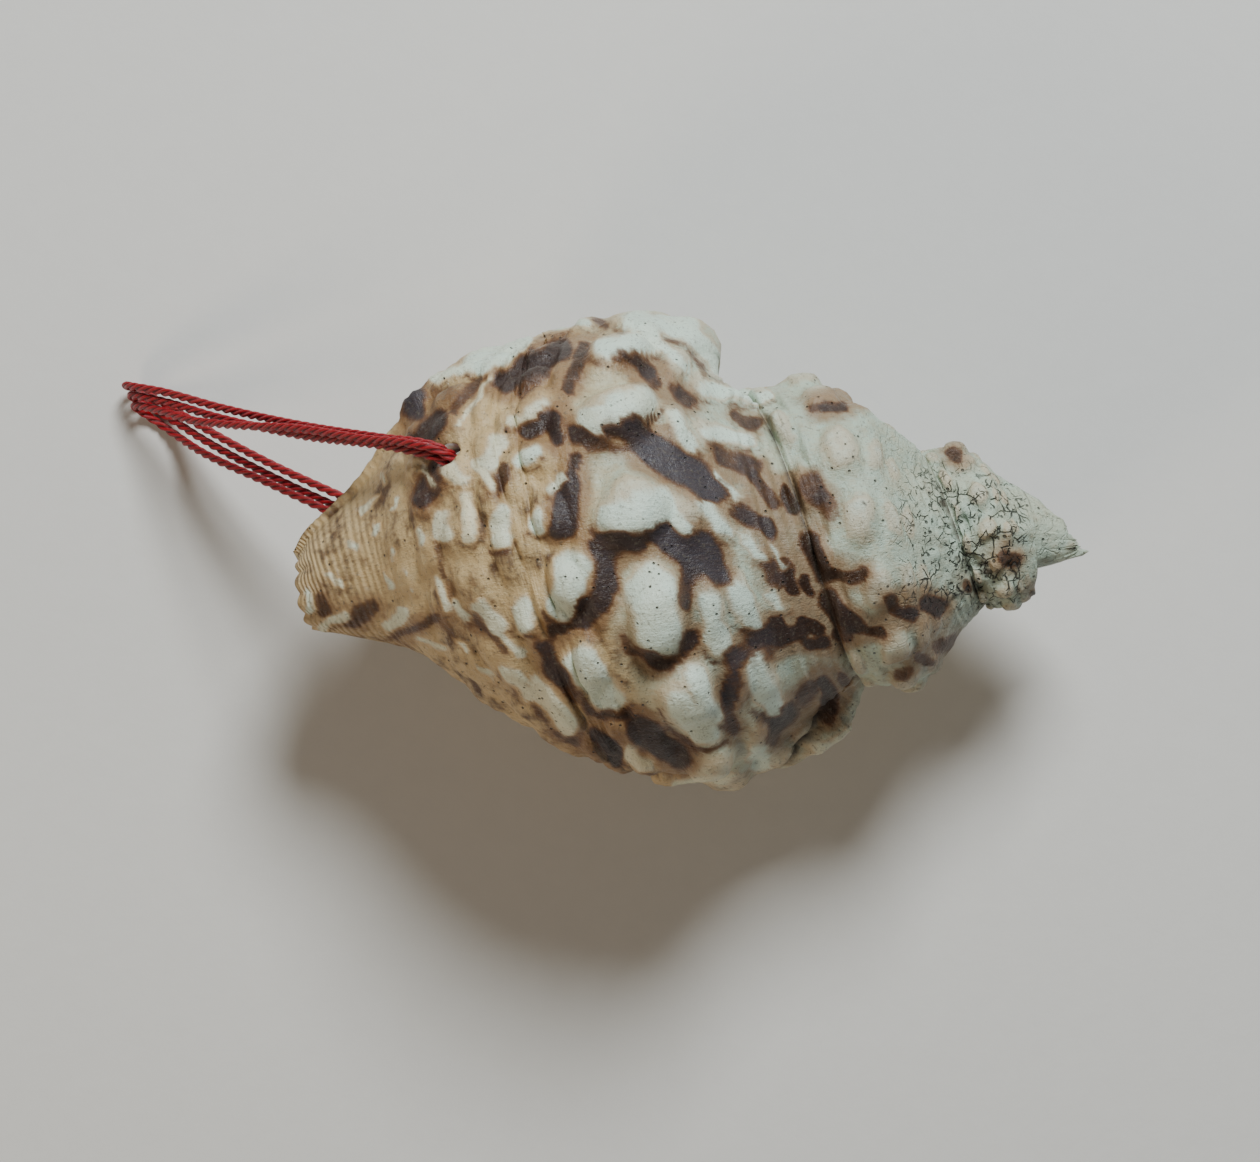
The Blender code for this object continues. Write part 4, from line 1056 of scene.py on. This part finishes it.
def seen_flat(place, uneven):
    """Where points are seen from above at the height of the axis, with an uneven edge."""
    sight = np.array(SEEN_FROM)
    spread = (sight[2] - AXIS_HEIGHT) / (sight[2] - place[:, 2])
    flat = sight[:2] + (place[:, :2] - sight[:2]) * spread[:, None]
    for size, seed, reach in EDGE_NOISES:
        flat = shaken(flat, uneven, size, seed, reach)
    return flat


def from_stroke(flat, start, end, reach):
    """Which points lie near a stroke, how far from its line, and how far up from it."""
    low, high = np.minimum(start, end) - reach, np.maximum(start, end) + reach
    near = ((flat > low) & (flat < high)).all(axis=1)
    offset = flat[near] - start
    run = np.array(end) - start
    share = np.clip(offset @ run / (run @ run + 1e-6), 0, 1)
    across = offset - share[:, None] * run
    return near, np.linalg.norm(across, axis=1), across[:, 1]


def keep_most(values, near, new):
    values[near] = np.maximum(values[near], new)


def patches_from_above(place, uneven):
    """How strong, warm and raised the pale patches are, and how strong the dark rim below them, brown with
    painted shade.
    """
    flat = shaken(seen_flat(place, uneven), uneven, *PATCH_NOISE)
    strong, warm, raised, rim = (np.zeros(len(place)) for _ in range(4))
    for x1, y1, x2, y2, half, warmth in PATCHES:
        near, away, up = from_stroke(flat, (x1, y1), (x2, y2), half * 1.7 + 0.4)
        soft = 0.25 * half + 0.7 + 0.9 * half * between(up / half, -0.5, 0.8)
        patch = ease((PATCH_REACH * half - away) / soft)
        edge = ease(1 - np.abs(away - PATCH_REACH * half) / (0.3 * half + 0.35))
        fullness = min(half / PATCH_FULL_HALF, 1)
        keep_most(strong, near, patch)
        keep_most(warm, near, patch * warmth)
        keep_most(raised, near, patch * fullness)
        # Only the lower side gets the rim, where shade falls below the knob.
        keep_most(rim, near, edge * between(-up / half, 0.1, 1.0) * fullness)
    return strong, warm, raised, rim


def marks_from_above(place):
    """The brown marks on the upper side: how dark they are, how grey, their halo, and holes."""
    flat = seen_flat(place, 1.0)
    clear, grey, halo = np.ones(len(place)), np.zeros(len(place)), np.ones(len(place))
    for x1, y1, x2, y2, half, strength, slate in MARKS:
        near, away, _ = from_stroke(flat, (x1, y1), (x2, y2), half + HALO)
        mark = strength * ease((MARK_REACH * half - away) / (MARK_SOFT * half))
        clear[near] *= 1 - mark
        halo[near] *= 1 - strength * ease((half + HALO - away) / HALO)
        keep_most(grey, near, mark * slate)
    hole = np.zeros(len(place))
    for x1, y1, radius in PITS:
        hole = np.maximum(hole, ease(2 - np.hypot(flat[:, 0] - x1, flat[:, 1] - y1) / radius))
    return 1 - clear, grey, 1 - halo, hole


def shell_paint(t, v, place):
    """Two fours for each point: dark, warm, worn, dark in grooves, and grey, chalky, tan, halo."""
    cover = knobs(t, v)[1]
    x, y, z = place.T
    place_noise = noise(place, 9.0, 11)
    gap_noise = noise(np.stack([t / 16, v * 0.8], axis=-1), 1.0, 3)
    main = knob_phase(t, v, 0, CORDS[MAIN_CORD][0])
    valley = block(main - np.floor(main) - 0.5, 0.38, 0.1)
    hidden = valley * keyed(v, BAND_AT, BAND_DARK) * np.clip(0.8 + 0.7 * gap_noise, 0, 1.2)
    drawn, grey, halo, hole = marks_from_above(place)
    above = between(z, *DRAWN_FROM)
    dark = hidden * (1 - above) * (1 - 0.6 * cover) + drawn * above
    halo = np.maximum(halo * above, (1 - above) * valley * 0.6)
    grey = grey * above + (1 - above) * np.clip(0.5 + gap_noise, 0, 1)
    # Warmer toward the canal and the lower side: partly the shell's own tan, partly painted warm light from
    # the left and below.
    warm = np.clip(between(-x, -8, 26) * 0.8 + between(-y, 8, 26) * 0.4 + 0.25 * place_noise, 0, 1)
    worn = worn_share(place)
    patch, patch_warm, _, rim = patches_from_above(place, 1.0)
    low_side = between(v, 4.3, 5.6) * (t > FULL_ANGLE - 40)
    tan = (0.15 + 0.85 * low_side) * (1 - 0.5 * worn)
    chalk = patch * above + (1 - above) * cover
    chalk = np.maximum(chalk, 0.55 * cover * (1 - low_side * above))
    dark *= 1 - 0.85 * patch * above
    # The dark rim under the patches: brown colour with painted shade below the knobs.
    dark = np.maximum(dark, RIM_STAIN_AND_SHADE * rim * above * (1 - patch))
    halo = halo * (1 - 0.8 * patch * above)
    warm = np.maximum(warm * (1 - patch * above), patch_warm * above)
    suture = np.clip(1 - v / 0.12, 0, 1)
    thread = np.clip(1 - np.abs(v - 1.05) / 0.05, 0, 1) * (t > FULL_ANGLE)
    # Painted shadow darkens the crevice behind the last varix.
    crevice = block(t - keyed(v, CREVICE_AT, CREVICE_ANGLE), CREVICE_SHADOW_HALF, 0.2)
    crevice = crevice * between(-v, *CREVICE_SHADOW_FADE)
    # The seam, a thread, eaten holes and the crevice's painted shadow make the groove darkening.
    groove = np.maximum.reduce([suture, 0.6 * thread, hole * above, crevice])
    return np.stack([dark, warm, worn, groove], axis=-1), np.stack([grey, chalk, tan, halo], axis=-1)


def build_shell():
    shell = add_object("shell_body", shell_outside(), outside_material(), inside_material())
    cut(shell, lumen())
    cut(shell, drill())
    mesh = shell.data
    mesh.name = "shell_body"
    corners = len(mesh.loops)
    growth = np.zeros(corners * 2, np.float32)
    mesh.uv_layers["growth"].data.foreach_get("uv", growth)
    growth = growth.reshape(-1, 2).astype(float)
    verts = np.zeros(len(mesh.vertices) * 3, np.float32)
    mesh.vertices.foreach_get("co", verts)
    index = np.zeros(corners, np.int32)
    mesh.loops.foreach_get("vertex_index", index)
    place = verts.reshape(-1, 3).astype(float)[index] / MM
    layers = shell_paint(growth[:, 0] * DEGREES_A_UNIT, growth[:, 1], place)
    for name, values in zip(("paint", "tint"), layers):
        layer = mesh.attributes.new(name, "FLOAT_COLOR", "CORNER")
        layer.data.foreach_set("color", values.astype(np.float32).ravel())
    mesh.shade_smooth()
    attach(shell, "root")
    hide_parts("shell")
    return shell


def cord_curve():
    """Points an even distance apart on the cord's smooth route, in millimetres."""
    route = np.array(FIRST_TURN + SECOND_TURN + THIRD_TURN)
    chord = run_along(route)
    at = np.linspace(0, chord[-1], CORD_READINGS)
    curve = np.stack([keyed(at, chord, route[:, axis]) for axis in range(3)], axis=-1)
    return evenly(curve, CORD_SPACING)


def strand_outline(sides):
    """How far a cord of three strands reaches from its middle, round a section."""
    strand = CORD_DIAMETER / 2 / (1 + 2 / math.sqrt(3))
    off = strand * 2 / math.sqrt(3)
    around = np.arange(sides) * 2 * np.pi / sides
    lobe = 2 * np.pi / CORD_STRANDS
    away = np.mod(around + lobe / 2, lobe) - lobe / 2
    reach = off * np.cos(away) + np.sqrt(np.maximum(strand**2 - (off * np.sin(away)) ** 2, 0))
    return around, np.maximum(reach, CORD_DIAMETER * CORD_WAIST)


def twisted_tube(name, curve, around, reach, lay):
    """A closed tube of rings that turn once in each lay, in millimetres."""
    heading = unit(np.gradient(curve, axis=0))
    side = np.zeros_like(curve)
    side[0] = np.cross(heading[0], (0.3, 0.5, 0.8))
    for i in range(1, len(curve)):
        side[i] = side[i - 1] / np.linalg.norm(side[i - 1])
        side[i] -= heading[i] * (side[i] @ heading[i])
    side = unit(side)
    other = np.cross(heading, side)
    run = run_along(curve)
    bm = bmesh.new()
    sides = len(around)
    column, row = grid_cells(bm, len(curve) - 1, sides)
    angle = np.append(around, around[0] + 2 * np.pi)[row] - 2 * np.pi * run[column] / lay
    out = side[column] * np.cos(angle)[:, None] + other[column] * np.sin(angle)[:, None]
    points = curve[column] + out * np.append(reach, reach[0])[row][:, None]
    bm.verts.ensure_lookup_table()
    move_to(bm.verts, points * MM)
    strand = bm.loops.layers.uv.new("strand")
    write_uv(bm.faces, strand, lambda i: (row[i] / sides, run[column[i]]))
    bmesh.ops.remove_doubles(bm, verts=bm.verts, dist=0.0005 * MM)
    bmesh.ops.holes_fill(bm, edges=[e for e in bm.edges if e.is_boundary])
    return finished_mesh(name, bm)


def build_knot(look):
    at = np.linspace(KNOT_FROM, KNOT_TO, KNOT_READINGS)
    x = np.sin(at) + 2 * np.sin(2 * at)
    y = np.cos(at) - 2 * np.cos(2 * at)
    z = -KNOT_DEPTH * np.sin(3 * at)
    curve = np.array(KNOT_AT) / MM + np.stack([z, x, y], axis=-1) * KNOT_SIZE / MM
    around, reach = strand_outline(CORD_SIDES)
    reach = reach * KNOT_RADIUS / MM * 2 / CORD_DIAMETER
    mesh = twisted_tube("tied_knot", evenly(curve, CORD_SPACING), around, reach, CORD_LAY * KNOT_LAY)
    knot = add_object("tied_knot", mesh, look)
    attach(knot, "root")
    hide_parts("knot")
    return knot


def build_cord(look):
    curve = cord_curve()
    around, reach = strand_outline(CORD_SIDES)
    cord = add_object("twisted_cord", twisted_tube("twisted_cord", curve, around, reach, CORD_LAY), look)
    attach(cord, "root")
    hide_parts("cord")
    return cord, curve * MM


def build_camera():
    data = bpy.data.cameras.new("camera")
    data.sensor_fit = "HORIZONTAL"
    data.sensor_width, data.lens = SENSOR, CAMERA_LENS
    data.clip_start, data.clip_end = CAMERA_CLIP
    camera = add_object("camera", data)
    camera.location = [value * MM for value in SEEN_FROM]
    bpy.context.scene.camera = camera


def area_light(name, at, size, power, colour):
    data = bpy.data.lights.new(name, "AREA")
    data.shape = "DISK"
    data.size, data.energy, data.color = size, power, colour
    light = add_object(name, data)
    light.location = at
    light.rotation_euler = (Vector(LIGHTS_AIM) - Vector(at)).to_track_quat("-Z", "Y").to_euler()


def build_stage():
    bm = bmesh.new()
    bmesh.ops.create_grid(bm, x_segments=2, y_segments=2, size=FLOOR_SIZE)
    floor = add_object("floor", finished_mesh("floor", bm), floor_material())
    for light in LIGHTS:
        area_light(*light)
    world = bpy.data.worlds.new("studio")
    world.use_nodes = True
    sky = world.node_tree.nodes["Background"].inputs
    sky["Color"].default_value = SKY_COLOUR
    sky["Strength"].default_value = SKY_STRENGTH
    bpy.context.scene.world = world


build_camera()
red = cord_material()
knot = build_knot(red)
cord, cord_path = build_cord(red)
build_shell()
build_stage()
